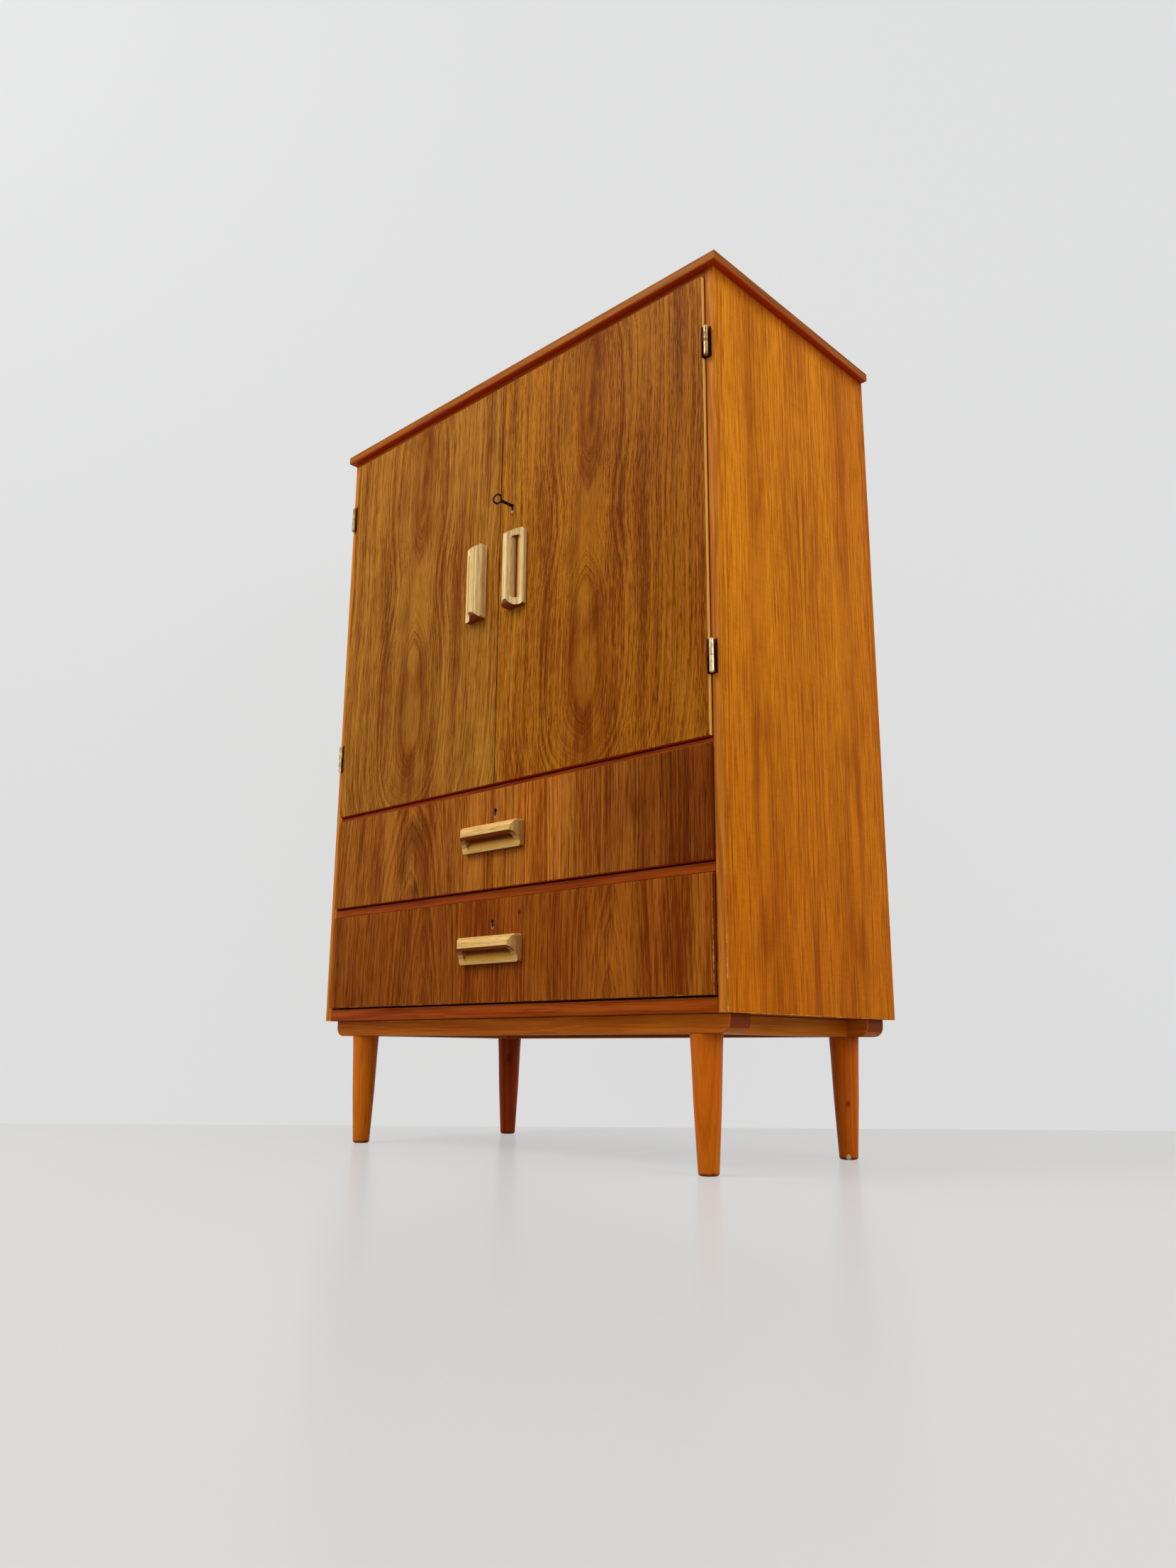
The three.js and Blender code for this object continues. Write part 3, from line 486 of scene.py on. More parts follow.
SIDE_LIPPING = {
    "light": rgb(0.66, 0.235, 0.030), "dark": rgb(0.46, 0.13, 0.012), "line": rgb(0.26, 0.06, 0.005),
    "heart": (0.2, 0.4, 0.0), "fleck_across": 300.0, "fleck_along": 10.0, "pore": 0.2}
BARE_TEAK = rgb(0.85, 0.47, 0.18)
side_inner_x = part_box("side_panel_right")[0].x


def spot(tree, where, middle, size, strength):
    """A soft oval spot, as a mask. Middle and size are across, deep and along the grain."""
    scale = [1 / part if part else 0 for part in size]
    moved = node(tree, "Mapping", {
        "Vector": where, "Location": [-at * by for at, by in zip(middle, scale)], "Scale": scale})
    away = node(tree, "VectorMath", {0: moved.outputs[0]}, operation="LENGTH")
    return ramp(tree, away.outputs["Value"], 0.1, 1.0, strength, 0.0)


def side_panel_material(side, sign):
    """Book-matched veneer on the faces, solid lipping along the front, wear low on its corner, and painted
    shade by the door and under the top.
    """
    material, tree = empty_material(f"teak_side_{side}")
    low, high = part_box(f"side_panel_{side}")
    where, along = grain_axes(tree, "Y", "X", "Z")
    x, y, z = node(tree, "SeparateXYZ", {"Vector": along}).outputs
    middle = (low.y + high.y) / 2
    folded = calc(tree, "ABSOLUTE", less(tree, x, middle))
    leaf = node(tree, "CombineXYZ", {0: folded, 1: y, 2: z})
    veneer = grown_wood(
        tree, leaf.outputs[0], heart=(0.133, sign * 0.5, 0.0), ring=0.0048,
        calm=0.018, wander=0.0030, tilt=0.012, swell_middle=-0.63, light=rgb(0.83, 0.292, 0.008),
        dark=rgb(0.45, 0.108, 0.002), line=rgb(0.27, 0.045, 0.001), line_strength=0.8,
        broad=1.2, banding=0.45, fleck=1.0, fleck_across=300.0, fleck_along=14.0, pore=0.25,
        silk=0.22)
    lipping = grown_wood(tree, along, **SIDE_LIPPING)
    color = veneer.outputs["Color"]
    lines = stretched(tree, leaf.outputs[0], 210.0, 2.2, 2.0)
    joint = times(tree, ramp(tree, lines["Fac"], 0.50, 0.60),
                  ramp(tree, folded, 0.010, 0.026, 0.7, 0.0))
    dash = spot(tree, along, (middle - 0.013, 0, 1.054), (0.0022, 0, 0.017), 1.0)
    color = tint(tree, most(tree, joint, dash), color, rgb(0.33, 0.066, 0.003))
    shade = most(tree, ramp(tree, z, 1.0, 0.25),
                 ramp(tree, x, middle + 0.06, high.y, 0.0, 0.75))
    color = tint(tree, shade, color, rgb(0.82, 0.66, 0.50), "MULTIPLY")
    front = ramp(tree, facing(tree, "Y"), 0.5, 0.8)
    color = tint(tree, front, color, lipping.outputs["Color"])
    inner = calc(tree, "ABSOLUTE", y)
    # Painted shade: the front edge darkens into the corner beside the door, and a painted shadow lies along
    # the top, under the overhang.
    angle = times(tree, front, ramp(tree, inner, side_inner_x + 0.0005, side_inner_x + 0.0030, 0.75, 0.0))
    painted_shadow_under_top = ramp(tree, z, 1.425, 1.460, 0.0, 0.6)
    color = tint(tree, most(tree, angle, painted_shadow_under_top), color, rgb(0.22, 0.018, 0.002))
    worn = group_node(tree, WORN_EDGE, where=where, low=low, high=high, width=0.0011, patches=45.0)
    rubbed = times(tree, worn.outputs["Mask"], ramp(tree, z, 0.50, 0.30, 0.0, 0.7))
    color = tint(tree, rubbed, color, BARE_TEAK)
    finish_wood(tree, color, veneer, 0.45, 0.03)
    return material


for side, sign in (("left", -1), ("right", 1)):
    dress(f"side_panel_{side}", side_panel_material(side, sign))

# ---------------------------------------------------------------- top, floor and rails
# Solid-lipped teak boards with the grain across the wardrobe: the overhanging top and the
# boards whose front edges show above the doors and between and under the drawers.

TOP_LIPPING = {
    "light": rgb(0.42, 0.126, 0.006), "dark": rgb(0.25, 0.051, 0.002), "line": rgb(0.14, 0.02, 0.002),
    "heart": (0.3, 0.9, 0.0), "fleck": 0.8, "fleck_across": 260.0, "fleck_along": 9.0}


def top_material():
    """Veneer above, lipping along all four edges, and an underside painted dark red as shade."""
    material, tree = empty_material("top_teak")
    where, along_x = grain_axes(tree, "Y", "Z", "X")
    _, along_y = grain_axes(tree, "X", "Z", "Y")
    veneer = grown_wood(
        tree, along_x, heart=(0.0, 1.1, 0.0), ring=0.0034, calm=0.04,
        light=rgb(0.46, 0.16, 0.028), dark=rgb(0.28, 0.07, 0.008), line=rgb(0.11, 0.02, 0.002),
        fleck=0.7, fleck_across=200.0, fleck_along=10.0)
    long_edge = grown_wood(tree, along_x, **TOP_LIPPING)
    short_edge = grown_wood(tree, along_y, **TOP_LIPPING)
    color = tint(tree, ramp(tree, facing(tree, "Y"), 0.5, 0.8), veneer.outputs["Color"],
                 long_edge.outputs["Color"])
    color = tint(tree, ramp(tree, facing(tree, "X"), 0.5, 0.8), color, short_edge.outputs["Color"])
    # Painted shade: faces that look down are darkened to a deep red, the shadow under the overhang.
    under = ramp(tree, looking(tree, "Z"), -0.6, -0.9)
    color = tint(tree, times(tree, under, 0.9), color, rgb(0.52, 0.034, 0.012))
    low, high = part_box("top_panel")
    worn = group_node(tree, WORN_EDGE, where=where, low=low, high=high, width=0.0012, patches=40.0)
    color = tint(tree, times(tree, worn.outputs["Mask"], 0.4), color, rgb(0.62, 0.28, 0.08))
    finish_wood(tree, color, veneer, 0.42, 0.05)
    return material


dress("top_panel", top_material())


def board_with_lipping():
    """Quiet brown teak on the faces of a board, and redder solid teak along its front edge."""
    material, tree = empty_material("rail_teak")
    _, where = grain_axes(tree, "Z", "Y", "X")
    _, flat = grain_axes(tree, "Y", "Z", "X")
    lipping = grown_wood(
        tree, where, heart=(0.3, 0.25, 0.0), ring=0.003, light=rgb(0.43, 0.082, 0.007),
        dark=rgb(0.25, 0.034, 0.002), line=rgb(0.09, 0.012, 0.001), fleck=0.8, fleck_across=260.0,
        fleck_along=8.0, pore=0.3)
    veneer = grown_wood(
        tree, flat, heart=(0.0, 0.9, 0.0), ring=0.003, light=rgb(0.38, 0.13, 0.022),
        dark=rgb(0.25, 0.072, 0.009), line=rgb(0.10, 0.03, 0.005), line_strength=0.4, fleck=0.7, pore=0.3)
    color = tint(tree, ramp(tree, facing(tree, "Y"), 0.5, 0.8), veneer.outputs["Color"],
                 lipping.outputs["Color"])
    color = tint(tree, ramp(tree, facing(tree, "X"), 0.7, 0.95), color, rgb(0.10, 0.016, 0.003))
    finish_wood(tree, color, lipping, 0.42, 0.05)
    return material


rail_teak = board_with_lipping()
for name in ("inner_top", "cabinet_floor", "drawer_divider", "bottom_panel"):
    dress(name, rail_teak)

# ---------------------------------------------------------------- back panel
# One sheet of thin beech plywood, let into rebates and pinned all round. The pins come last,
# with the other small fixings.

plywood = wood_material(
    "plywood", ("X", "Y", "Z"), rgb(0.35, 0.20, 0.08), light=rgb(0.66, 0.42, 0.19),
    dark=rgb(0.53, 0.31, 0.12), line=rgb(0.36, 0.18, 0.07), heart=(0.05, 0.5, 0.0), ring=0.006,
    wander=0.01, line_strength=0.3, fleck=0.4, pore=0.2, roughness=0.6, level=0.2)
dress("back_panel", plywood)

# ---------------------------------------------------------------- inside the cabinet
# A hat shelf on two screwed bearers that also carry the ends of a beech hanging rail. The
# runners and the drawers' sides and backs are beech too, and the drawers' bottoms plywood.

shelf_teak = wood_material(
    "shelf_teak", ("Y", "Z", "X"), rgb(0.14, 0.05, 0.012), light=rgb(0.34, 0.13, 0.03),
    dark=rgb(0.25, 0.085, 0.015), line=rgb(0.10, 0.03, 0.005), heart=(0.0, 0.9, 0.0), ring=0.003,
    line_strength=0.4, fleck=0.7, pore=0.3)
dress("hat_shelf", shelf_teak)

BEECH = {
    "end": rgb(0.40, 0.22, 0.09), "light": rgb(0.70, 0.45, 0.21), "dark": rgb(0.58, 0.34, 0.14),
    "line": rgb(0.40, 0.20, 0.08), "ring": 0.004, "line_strength": 0.2, "fleck": 0.35, "pore": 0.3,
    "roughness": 0.5, "level": 0.25}
beech_along_y = wood_material("beech_along_y", ("X", "Z", "Y"), heart=(0.2, 0.3, 0.0), **BEECH)
for side in ("left", "right"):
    for name in ("shelf_bearer", "upper_runner", "lower_runner", "upper_drawer_side", "lower_drawer_side"):
        dress(f"{name}_{side}", beech_along_y)

beech_along_x = wood_material("beech_along_x", ("Z", "Y", "X"), heart=(1.1, 0.1, 0.0), **BEECH)
for name in ("hanging_rail", "upper_drawer_back", "lower_drawer_back"):
    dress(name, beech_along_x)
for name in ("upper_drawer_bottom", "lower_drawer_bottom"):
    dress(name, plywood)

# ---------------------------------------------------------------- plinth frame and legs
# Flat beech rails glued and dowelled into a frame, and legs turned with a spigot on top.
# All are stained amber and lacquered; end grain takes the stain darker.

STAINED_BEECH = {
    "end": rgb(0.20, 0.034, 0.006), "heart": (0.1, 0.2, 0.0), "ring": 0.003, "line_strength": 0.35,
    "fleck": 0.7, "fleck_along": 8.0, "pore": 0.25, "roughness": 0.4, "level": 0.05}
plinth_beech = wood_material(
    "plinth_beech", ("Z", "Y", "X"), light=rgb(0.72, 0.195, 0.012), dark=rgb(0.48, 0.100, 0.006),
    line=rgb(0.18, 0.026, 0.002), **STAINED_BEECH)
for end in ("front", "back"):
    dress(f"plinth_rail_{end}", plinth_beech)
plinth_beech_y = wood_material(
    "plinth_beech_y", ("X", "Z", "Y"), light=rgb(0.76, 0.240, 0.014), dark=rgb(0.54, 0.125, 0.006),
    line=rgb(0.24, 0.038, 0.002), **STAINED_BEECH)
for side in ("left", "right"):
    dress(f"plinth_rail_{side}", plinth_beech_y)


SAME_POINT = 2e-6


def refined(name, body, material, keep_angle=35, soften=0.0):
    """A smooth-faced copy of a frame node stands for it: its facets are joined and shaded round."""
    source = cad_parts[name]
    shape = bmesh.new()
    shape.from_mesh(source.data)
    bmesh.ops.remove_doubles(shape, verts=shape.verts, dist=SAME_POINT)
    bmesh.ops.dissolve_limit(shape, angle_limit=math.radians(0.5), verts=shape.verts, edges=shape.edges)
    for face in shape.faces:
        face.smooth = True
    for edge in shape.edges:
        edge.smooth = len(edge.link_faces) == 2 and edge.calc_face_angle() < math.radians(keep_angle)
    mesh = bpy.data.meshes.new(f"{name}_surface")
    shape.to_mesh(mesh)
    shape.free()
    mesh.materials.append(material)
    made = bpy.data.objects.new(f"{name}_surface", mesh)
    scene.collection.objects.link(made)
    if soften:
        bevel = made.modifiers.new("soft arrises", "BEVEL")
        bevel.width = soften
        bevel.segments = 2
        bevel.limit_method = "ANGLE"
        bevel.angle_limit = math.radians(keep_angle)
        bevel.harden_normals = True
    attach(made, body)
    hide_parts(name)


# Each leg's light and dark wood. The back legs, the left one most of all, are darker: painted shade under
# the wardrobe.
LEG_TONES_WITH_PAINTED_SHADE = {
    "front_right": (rgb(0.70, 0.175, 0.008), rgb(0.54, 0.105, 0.004)),
    "front_left": (rgb(0.74, 0.200, 0.010), rgb(0.54, 0.110, 0.005)),
    "back_right": (rgb(0.68, 0.150, 0.008), rgb(0.46, 0.076, 0.004)),
    "back_left": (rgb(0.46, 0.062, 0.008), rgb(0.24, 0.022, 0.003)),
}


def leg_material(name, heart_x, light, dark):
    """Turned beech: long grain with short flecks of medullary ray, and a foot scuffed dark."""
    material, tree = empty_material(f"leg_beech_{name}")
    where, along = grain_axes(tree, "X", "Y", "Z")
    wood = grown_wood(
        tree, along, heart=(heart_x, 0.25, 0.0), ring=0.0035, light=light, dark=dark,
        line=rgb(0.20, 0.030, 0.002), line_strength=0.1, fleck=0.3, fleck_across=260.0,
        fleck_along=14.0, pore=0.2)
    height = coordinate(tree, where, "Z")
    scuff = node(tree, "TexNoise", {"Vector": where, "Scale": 130.0, "Detail": 4.0, "Roughness": 0.65})
    rim = calc(tree, "MULTIPLY_ADD", centred(tree, scuff.outputs, 1.0), 0.010, height)
    scuffed = ramp(tree, rim, 0.0060, 0.002, 0.0, 0.85)
    color = tint(tree, scuffed, wood.outputs["Color"], rgb(0.16, 0.022, 0.004))
    low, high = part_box(f"leg_{name}")
    x, y = (low.x + high.x) / 2, (low.y + high.y) / 2
    if name == "back_right":
        knot_mark = spot(tree, where, (x + 0.012, y - 0.015, 0.092), (0.006, 0.007, 0.010), 0.9)
        color = tint(tree, knot_mark, color, rgb(0.17, 0.022, 0.003))
        chip = spot(tree, where, (x + 0.008, y - 0.014, 0.003), (0.007, 0.007, 0.012), 1.0)
        color = tint(tree, ramp(tree, chip, 0.45, 0.55), color, rgb(0.80, 0.52, 0.25))
    if name == "back_left":
        smudge = spot(tree, where, (x + 0.014, y - 0.014, 0.160), (0.010, 0.010, 0.022), 0.85)
        color = tint(tree, smudge, color, rgb(0.10, 0.008, 0.002))
    finish_wood(tree, color, wood, 0.35, 0.08)
    return material


for number, (name, (light, dark)) in enumerate(LEG_TONES_WITH_PAINTED_SHADE.items()):
    refined(f"leg_{name}", "cabinet", leg_material(name, 0.35 + 0.1 * number, light, dark))

# ---------------------------------------------------------------- doors
# Boards veneered with neighbouring leaves of one teak flitch, slipped sideways, so that both
# show the same ovals. All four edges are lipped; the right door is the wider and has the lock.

CARCASS_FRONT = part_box("side_panel_right")[0].y
OUTER_END = 0.465
MEETING_END = 0.025
meeting_line = (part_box("door_left")[1].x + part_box("door_right")[0].x) / 2


def lipped_front(name, build, side_edge, worn_by, underside=rgb(0.62, 0.050, 0.020), worn_width=0.0005):
    """A veneered board with solid lipping, and its corners rubbed bare here and there.

    Build lays the veneer, side_edge is the light and the dark of the lipping at the outer end,
    and worn_by says how much of the wear shows. The edges back in the gaps are painted dark as
    shade, and the underside colour is a deep red painted on the edge that looks down, for the
    shade under it.
    """
    material, tree = empty_material(f"teak_{name}")
    where, along = grain_axes(tree, "X", "Y", "Z")
    veneer, veneer_color = build(tree, along)
    light, dark = side_edge
    lipping = grown_wood(
        tree, along, heart=(0.5, 0.4, 0.0), light=light, dark=dark,
        line=rgb(0.30, 0.09, 0.01), line_strength=0.2, fleck=0.5, fleck_along=20.0, pore=0.1)
    aside = calc(tree, "ABSOLUTE", coordinate(tree, where, "X"))
    deep = coordinate(tree, where, "Y")
    proud = ramp(tree, deep, CARCASS_FRONT - 0.0002, CARCASS_FRONT + 0.0010, 1.0, 0.0)
    outer = times(tree, ramp(tree, aside, OUTER_END - 0.005, OUTER_END + 0.005), proud)
    meeting = ramp(tree, aside, MEETING_END + 0.005, MEETING_END - 0.005)
    # Painted shade: the edges back in the gaps are dark red, almost black at the meeting end between the
    # doors.
    shaded = tint(tree, meeting, rgb(0.34, 0.030, 0.003), rgb(0.07, 0.008, 0.002))
    edge_color = tint(tree, outer, shaded, lipping.outputs["Color"])
    upward = looking(tree, "Z")
    edge_color = tint(tree, ramp(tree, upward, 0.4, 0.8), edge_color, rgb(0.30, 0.105, 0.018))
    # Painted shade: the edge that looks down takes the deep red of the shade under it.
    edge_color = tint(tree, ramp(tree, upward, -0.4, -0.8), edge_color, underside)
    color = tint(tree, ramp(tree, facing(tree, "Y"), 0.3, 0.8), edge_color, veneer_color)
    low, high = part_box(name)
    worn = group_node(tree, WORN_EDGE, where=where, low=low, high=high, width=worn_width, patches=40.0)
    rubbed = times(tree, worn.outputs["Mask"], worn_by(tree, where))
    color = tint(tree, rubbed, color, rgb(0.66, 0.33, 0.11))
    finish_wood(tree, color, veneer, 0.45, 0.025)
    return material


def hardly_worn(tree, where):
    """Doors: next to nothing."""
    return 0.12


DOOR_EDGE = (rgb(1.00, 0.64, 0.17), rgb(0.94, 0.52, 0.11))
DOOR_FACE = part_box("door_left")[0].y


def knot(tree, where, color):
    """Smudges of darker wood beside the heart, and a small pin knot among them."""
    pin = spot(tree, where, (0.147, 0, 1.297), (0.006, 0, 0.010), 0.7)
    above = spot(tree, where, (0.165, 0, 1.30), (0.028, 0, 0.09), 0.35)
    tip = spot(tree, where, (0.178, 0, 1.035), (0.030, 0, 0.05), 0.4)
    return tint(tree, most(tree, pin, above, tip), color, rgb(0.17, 0.036, 0.003))


def door_veneer(leaf, light, dark, fleck, fleck_along):
    """The doors' veneers are successive leaves of one flitch, slipped sideways to match."""
    def build(tree, along):
        slipped = node(tree, "Mapping", {"Vector": along, "Location": leaf})
        leaning = node(tree, "Mapping", {
            "Vector": slipped.outputs[0], "Rotation": (0, math.radians(-1.7), 0)})
        wood = grown_wood(
            tree, leaning.outputs[0], heart=(0.190, DOOR_FACE, 0.0), ring=0.0055,
            calm=0.028, wander=0.0035, swell=0.055, swell_middle=0.864, swell_length=0.47, dive=3.2,
            taper=0.9, broad=1.7, banding=0.75, light=light, dark=dark, line=rgb(0.12, 0.018, 0.001),
            line_strength=1.0, fleck=fleck, fleck_across=560.0, fleck_along=fleck_along, pore=0.4,
            silk=0.1)
        color = knot(tree, slipped.outputs[0], wood.outputs["Color"])
        ruddy = spot(tree, along, (0.47, 0, 1.00), (0.42, 0, 1.10), 0.85)
        color = tint(tree, ruddy, color, rgb(0.82, 0.74, 0.55), "MULTIPLY")
        golden = spot(tree, along, (0.015, 0, 1.10), (0.085, 0, 0.55), 0.9)
        own_door = ramp(tree, coordinate(tree, along, "X"), meeting_line - 0.0001, meeting_line + 0.0001)
        golden = times(tree, golden, own_door)
        color = tint(tree, golden, color, rgb(1.05, 1.15, 1.35), "MULTIPLY")
        return wood, color
    return build


# The left door's tones are lighter and less saturated than the right's: painted sheen, for light glancing
# off it.
for name, leaf, light, dark, fleck, fleck_along in (
        ("door_left", (0.474, 0.0006, 0.0), rgb(0.47, 0.196, 0.022), rgb(0.18, 0.038, 0.002), 0.88, 30.0),
        ("door_right", (0.0, 0.0, 0.0), rgb(0.50, 0.182, 0.011), rgb(0.18, 0.032, 0.001), 1.1, 40.0)):
    veneer = door_veneer(leaf, light, dark, fleck, fleck_along)
    dress(name, lipped_front(name, veneer, DOOR_EDGE, hardly_worn))

# ---------------------------------------------------------------- oak pulls
# Each is cut from a bar of solid oak and waxed: a plain sloping face, a scooped face with a
# finger slot, bevelled ends. They are screwed on from behind.

PALE_OAK = {"light": rgb(0.95, 0.71, 0.36), "dark": rgb(0.70, 0.46, 0.17), "line": rgb(0.36, 0.17, 0.04)}
WAXED_OAK = {"light": rgb(0.86, 0.56, 0.20), "dark": rgb(0.60, 0.33, 0.09), "line": rgb(0.28, 0.11, 0.02)}
# The last pair of each is the painted shade on the slot's wall, at its rim and deep in it: faint on the
# upright door pulls, heavy under the nose of the level drawer pulls.
DOOR_PULL = (PALE_OAK, ("X", "Y", "Z"), (0.0, 0.1))
DRAWER_PULL = (WAXED_OAK, ("Z", "Y", "X"), (0.75, 1.0))
SLOT = {
    "from": -0.0178, "to": 0.0004, "half": 0.0622, "rim": (0.0238, 0.0226), "floor": (0.0130, 0.0115)}


def pull_material(name, tones, axes, darkness, plain_side, heart):
    """Oak with darker end grain, painted shade on the faces that look down and in the slot, and
    painted warm light on the slot's floor.

    The pair given for the slot says how dark its painted shade is at its rim and deep in it;
    plain_side is 1 or -1.
    """
    material, tree = empty_material(f"oak_{name}")
    low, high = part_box(name)
    middle = dict(zip("XYZ", (low + high) / 2))
    _, along = grain_axes(tree, *axes)
    wood = grown_wood(
        tree, along, heart=heart, ring=0.0026, wander=0.0012, line_strength=0.9,
        fleck=0.9, fleck_across=420.0, fleck_along=30.0, pore=0.4, **tones)
    x, y, z = node(tree, "SeparateXYZ", {"Vector": along}).outputs
    across = times(tree, less(tree, x, middle[axes[0]]), plain_side)
    length = calc(tree, "ABSOLUTE", less(tree, z, middle[axes[2]]))
    out = less(tree, DOOR_FACE, y)
    in_slot = times(
        tree, calc(tree, "LESS_THAN", across, SLOT["to"]), calc(tree, "GREATER_THAN", across, SLOT["from"]),
        calc(tree, "LESS_THAN", length, SLOT["half"]), ramp(tree, out, *SLOT["rim"]))
    # Painted shade in the slot: its wall darkens deeper in, and its floor darkens under the ridge, where
    # the ridge's shadow falls.
    wall = times(tree, in_slot, ramp(tree, facing(tree, axes[0]), 0.5, 0.9))
    deep = ramp(tree, out, 0.022, 0.005, *darkness)
    floor = times(tree, in_slot, ramp(tree, facing(tree, "Y"), 0.5, 0.9), ramp(tree, out, *SLOT["floor"]))
    under = ramp(tree, across, -0.0125, -0.0030, 0.0, 0.92)
    # Painted shade on every face that looks down.
    down = ramp(tree, looking(tree, "Z"), -0.2, -0.9, 0.0, 0.93)
    end = ramp(tree, facing(tree, axes[2]), 0.3, 0.95, 0.0, 0.75)
    color = tint(tree, end, wood.outputs["Color"], rgb(0.33, 0.135, 0.028))
    # Painted warm light on the slot's floor, as if bounced about the oak.
    color = tint(tree, times(tree, floor, 0.7), color, rgb(0.76, 0.36, 0.035))
    dark = most(tree, times(tree, wall, deep), times(tree, floor, under))
    color = tint(tree, most(tree, dark, down), color, rgb(0.20, 0.025, 0.003))
    finish_wood(tree, color, wood, 0.5, 0.06)
    return material


for name, body, kind, plain_side, heart in (
        ("door_pull_left", "left_door", DOOR_PULL, 1.0, (0.09, 0.0, 0.0)),
        ("door_pull_right", "right_door", DOOR_PULL, -1.0, (0.09, 0.0, 0.0)),
        ("upper_drawer_pull", "upper_drawer", DRAWER_PULL, 1.0, (0.558, -0.262, 0.0)),
        ("lower_drawer_pull", "lower_drawer", DRAWER_PULL, 1.0, (0.31, -0.30, 0.0))):
    waxed = pull_material(name, *kind, plain_side, heart)
    refined(name, body, waxed, keep_angle=30, soften=0.0011)

# ---------------------------------------------------------------- drawer fronts
# Veneered boards with the grain upright, laid in several leaves side by side, lipped all round.
# The upper one is cleaner; the lower one is rubbed along its foot and at its right end.


def step(tree, x, edges, values):
    """A value that changes at each edge, from the left."""
    value = values[0]
    for edge, following in zip(edges, values[1:]):
        passed = calc(tree, "GREATER_THAN", x, edge)
        value = calc(tree, "MULTIPLY_ADD", passed, less(tree, following, value), value)
    return value


def drawer_veneer(edges, seams, hearts, depths, tilts, tones, light, dark, marks):
    """Leaves of figured teak side by side, the grain upright, with fine dark joints between.

    Edges are where the leaves meet, and seams the joints that show. Each leaf has the place and
    the depth of its heart, its tilt and its tone. Marks are darker or lighter places in the wood:
    middle, size, strength and what to multiply by.
    """
    def build(tree, along):
        x = coordinate(tree, along, "X")
        count = step(tree, x, edges, range(len(hearts)))
        shift = node(tree, "CombineXYZ", {0: 0.0, 1: 0.0, 2: times(tree, count, 0.9)})
        own = node(tree, "VectorMath", {0: along, 1: shift.outputs[0]}, operation="ADD")
        place = node(tree, "CombineXYZ", {
            0: step(tree, x, edges, hearts),
            1: less(tree, DOOR_FACE, step(tree, x, edges, depths)), 2: 0.0})
        own_middle = calc(tree, "MULTIPLY_ADD", count, 0.9, 0.44)
        wood = grown_wood(
            tree, own.outputs[0], heart=place.outputs[0], ring=0.005, wander=0.0035,
            tilt=step(tree, x, edges, tilts), swell_middle=own_middle, light=light, dark=dark,
            line=rgb(0.10, 0.016, 0.001), line_strength=0.8, broad=1.9, banding=0.75, fleck=0.78,
            fleck_across=520.0, fleck_along=26.0, pore=0.4, silk=0.1)
        toned = node(tree, "VectorMath", {
            0: wood.outputs["Color"], "Scale": step(tree, x, edges, tones)}, operation="SCALE")
        color = toned.outputs[0]
        for middle, size, strength, stain in marks:
            color = tint(tree, spot(tree, along, middle, size, strength), color, stain, "MULTIPLY")
        for edge in seams:
            near = calc(tree, "ABSOLUTE", less(tree, x, edge))
            color = tint(tree, ramp(tree, near, 0.0003, 0.0009, 0.75, 0.0), color, rgb(0.10, 0.014, 0.001))
        return wood, color
    return build


DRAWER_EDGE = (rgb(0.24, 0.050, 0.005), rgb(0.14, 0.024, 0.003))


def barely_worn(tree, where):
    """The upper drawer: a little along its bottom edge."""
    return ramp(tree, coordinate(tree, where, "Z"), 0.50, 0.47, 0.1, 0.35)


def well_worn(tree, where):
    """The lower drawer: its bottom edge, and most of all its right end."""
    low_down = ramp(tree, coordinate(tree, where, "Z"), 0.30, 0.27, 0.0, 0.85)
    right_end = ramp(tree, coordinate(tree, where, "X"), 0.47, 0.475, 0.0, 0.9)
    return most(tree, low_down, right_end)


FIGURE = rgb(0.50, 0.40, 0.34)
upper_veneer = drawer_veneer(
    edges=(-0.091, 0.055, 0.165), seams=(-0.091,), hearts=(-0.235, 0.50, 0.60, 0.85),
    depths=(0.035, 0.1, 0.1, 0.1), tilts=(0.24, 0.02, 0.02, 0.02), tones=(1.0, 1.16, 1.42, 1.08),
    light=rgb(0.44, 0.150, 0.017), dark=rgb(0.17, 0.029, 0.001), marks=(
        ((-0.225, 0, 0.575), (0.050, 0, 0.060), 0.8, FIGURE),
        ((-0.262, 0, 0.520), (0.030, 0, 0.050), 0.6, FIGURE),
        ((-0.225, 0, 0.470), (0.030, 0, 0.030), 0.8, FIGURE),
        ((0.322, 0, 0.556), (0.035, 0, 0.040), 0.45, FIGURE),
        ((0.520, 0, 0.545), (0.370, 0, 0.700), 1.0, rgb(0.50, 0.34, 0.28))))
lower_veneer = drawer_veneer(
    edges=(-0.406, -0.094, 0.082), seams=(-0.406, -0.094, 0.082), hearts=(-0.1, -0.19, 0.60, 0.278),
    depths=(0.1, 0.05, 0.1, 0.05), tilts=(0.02, 0.14, 0.02, 0.12), tones=(0.95, 0.95, 1.12, 1.02),
    light=rgb(0.385, 0.108, 0.009), dark=rgb(0.15, 0.023, 0.001), marks=(
        ((0.067, 0, 0.408), (0.006, 0, 0.008), 1.0, rgb(0.3, 0.2, 0.2)),
        ((0.270, 0, 0.355), (0.050, 0, 0.090), 0.6, rgb(1.25, 1.4, 1.4)),
        ((0.470, 0, 0.350), (0.060, 0, 0.400), 0.8, rgb(1.3, 1.5, 1.6))))
# Each underside colour is painted shade, the red of the gap beneath the drawer.
dress("upper_drawer_front", lipped_front(
    "upper_drawer_front", upper_veneer, DRAWER_EDGE, barely_worn, underside=rgb(0.62, 0.060, 0.012)))
dress("lower_drawer_front", lipped_front(
    "lower_drawer_front", lower_veneer, DRAWER_EDGE, well_worn, underside=rgb(0.62, 0.22, 0.050),
    worn_width=0.0012))
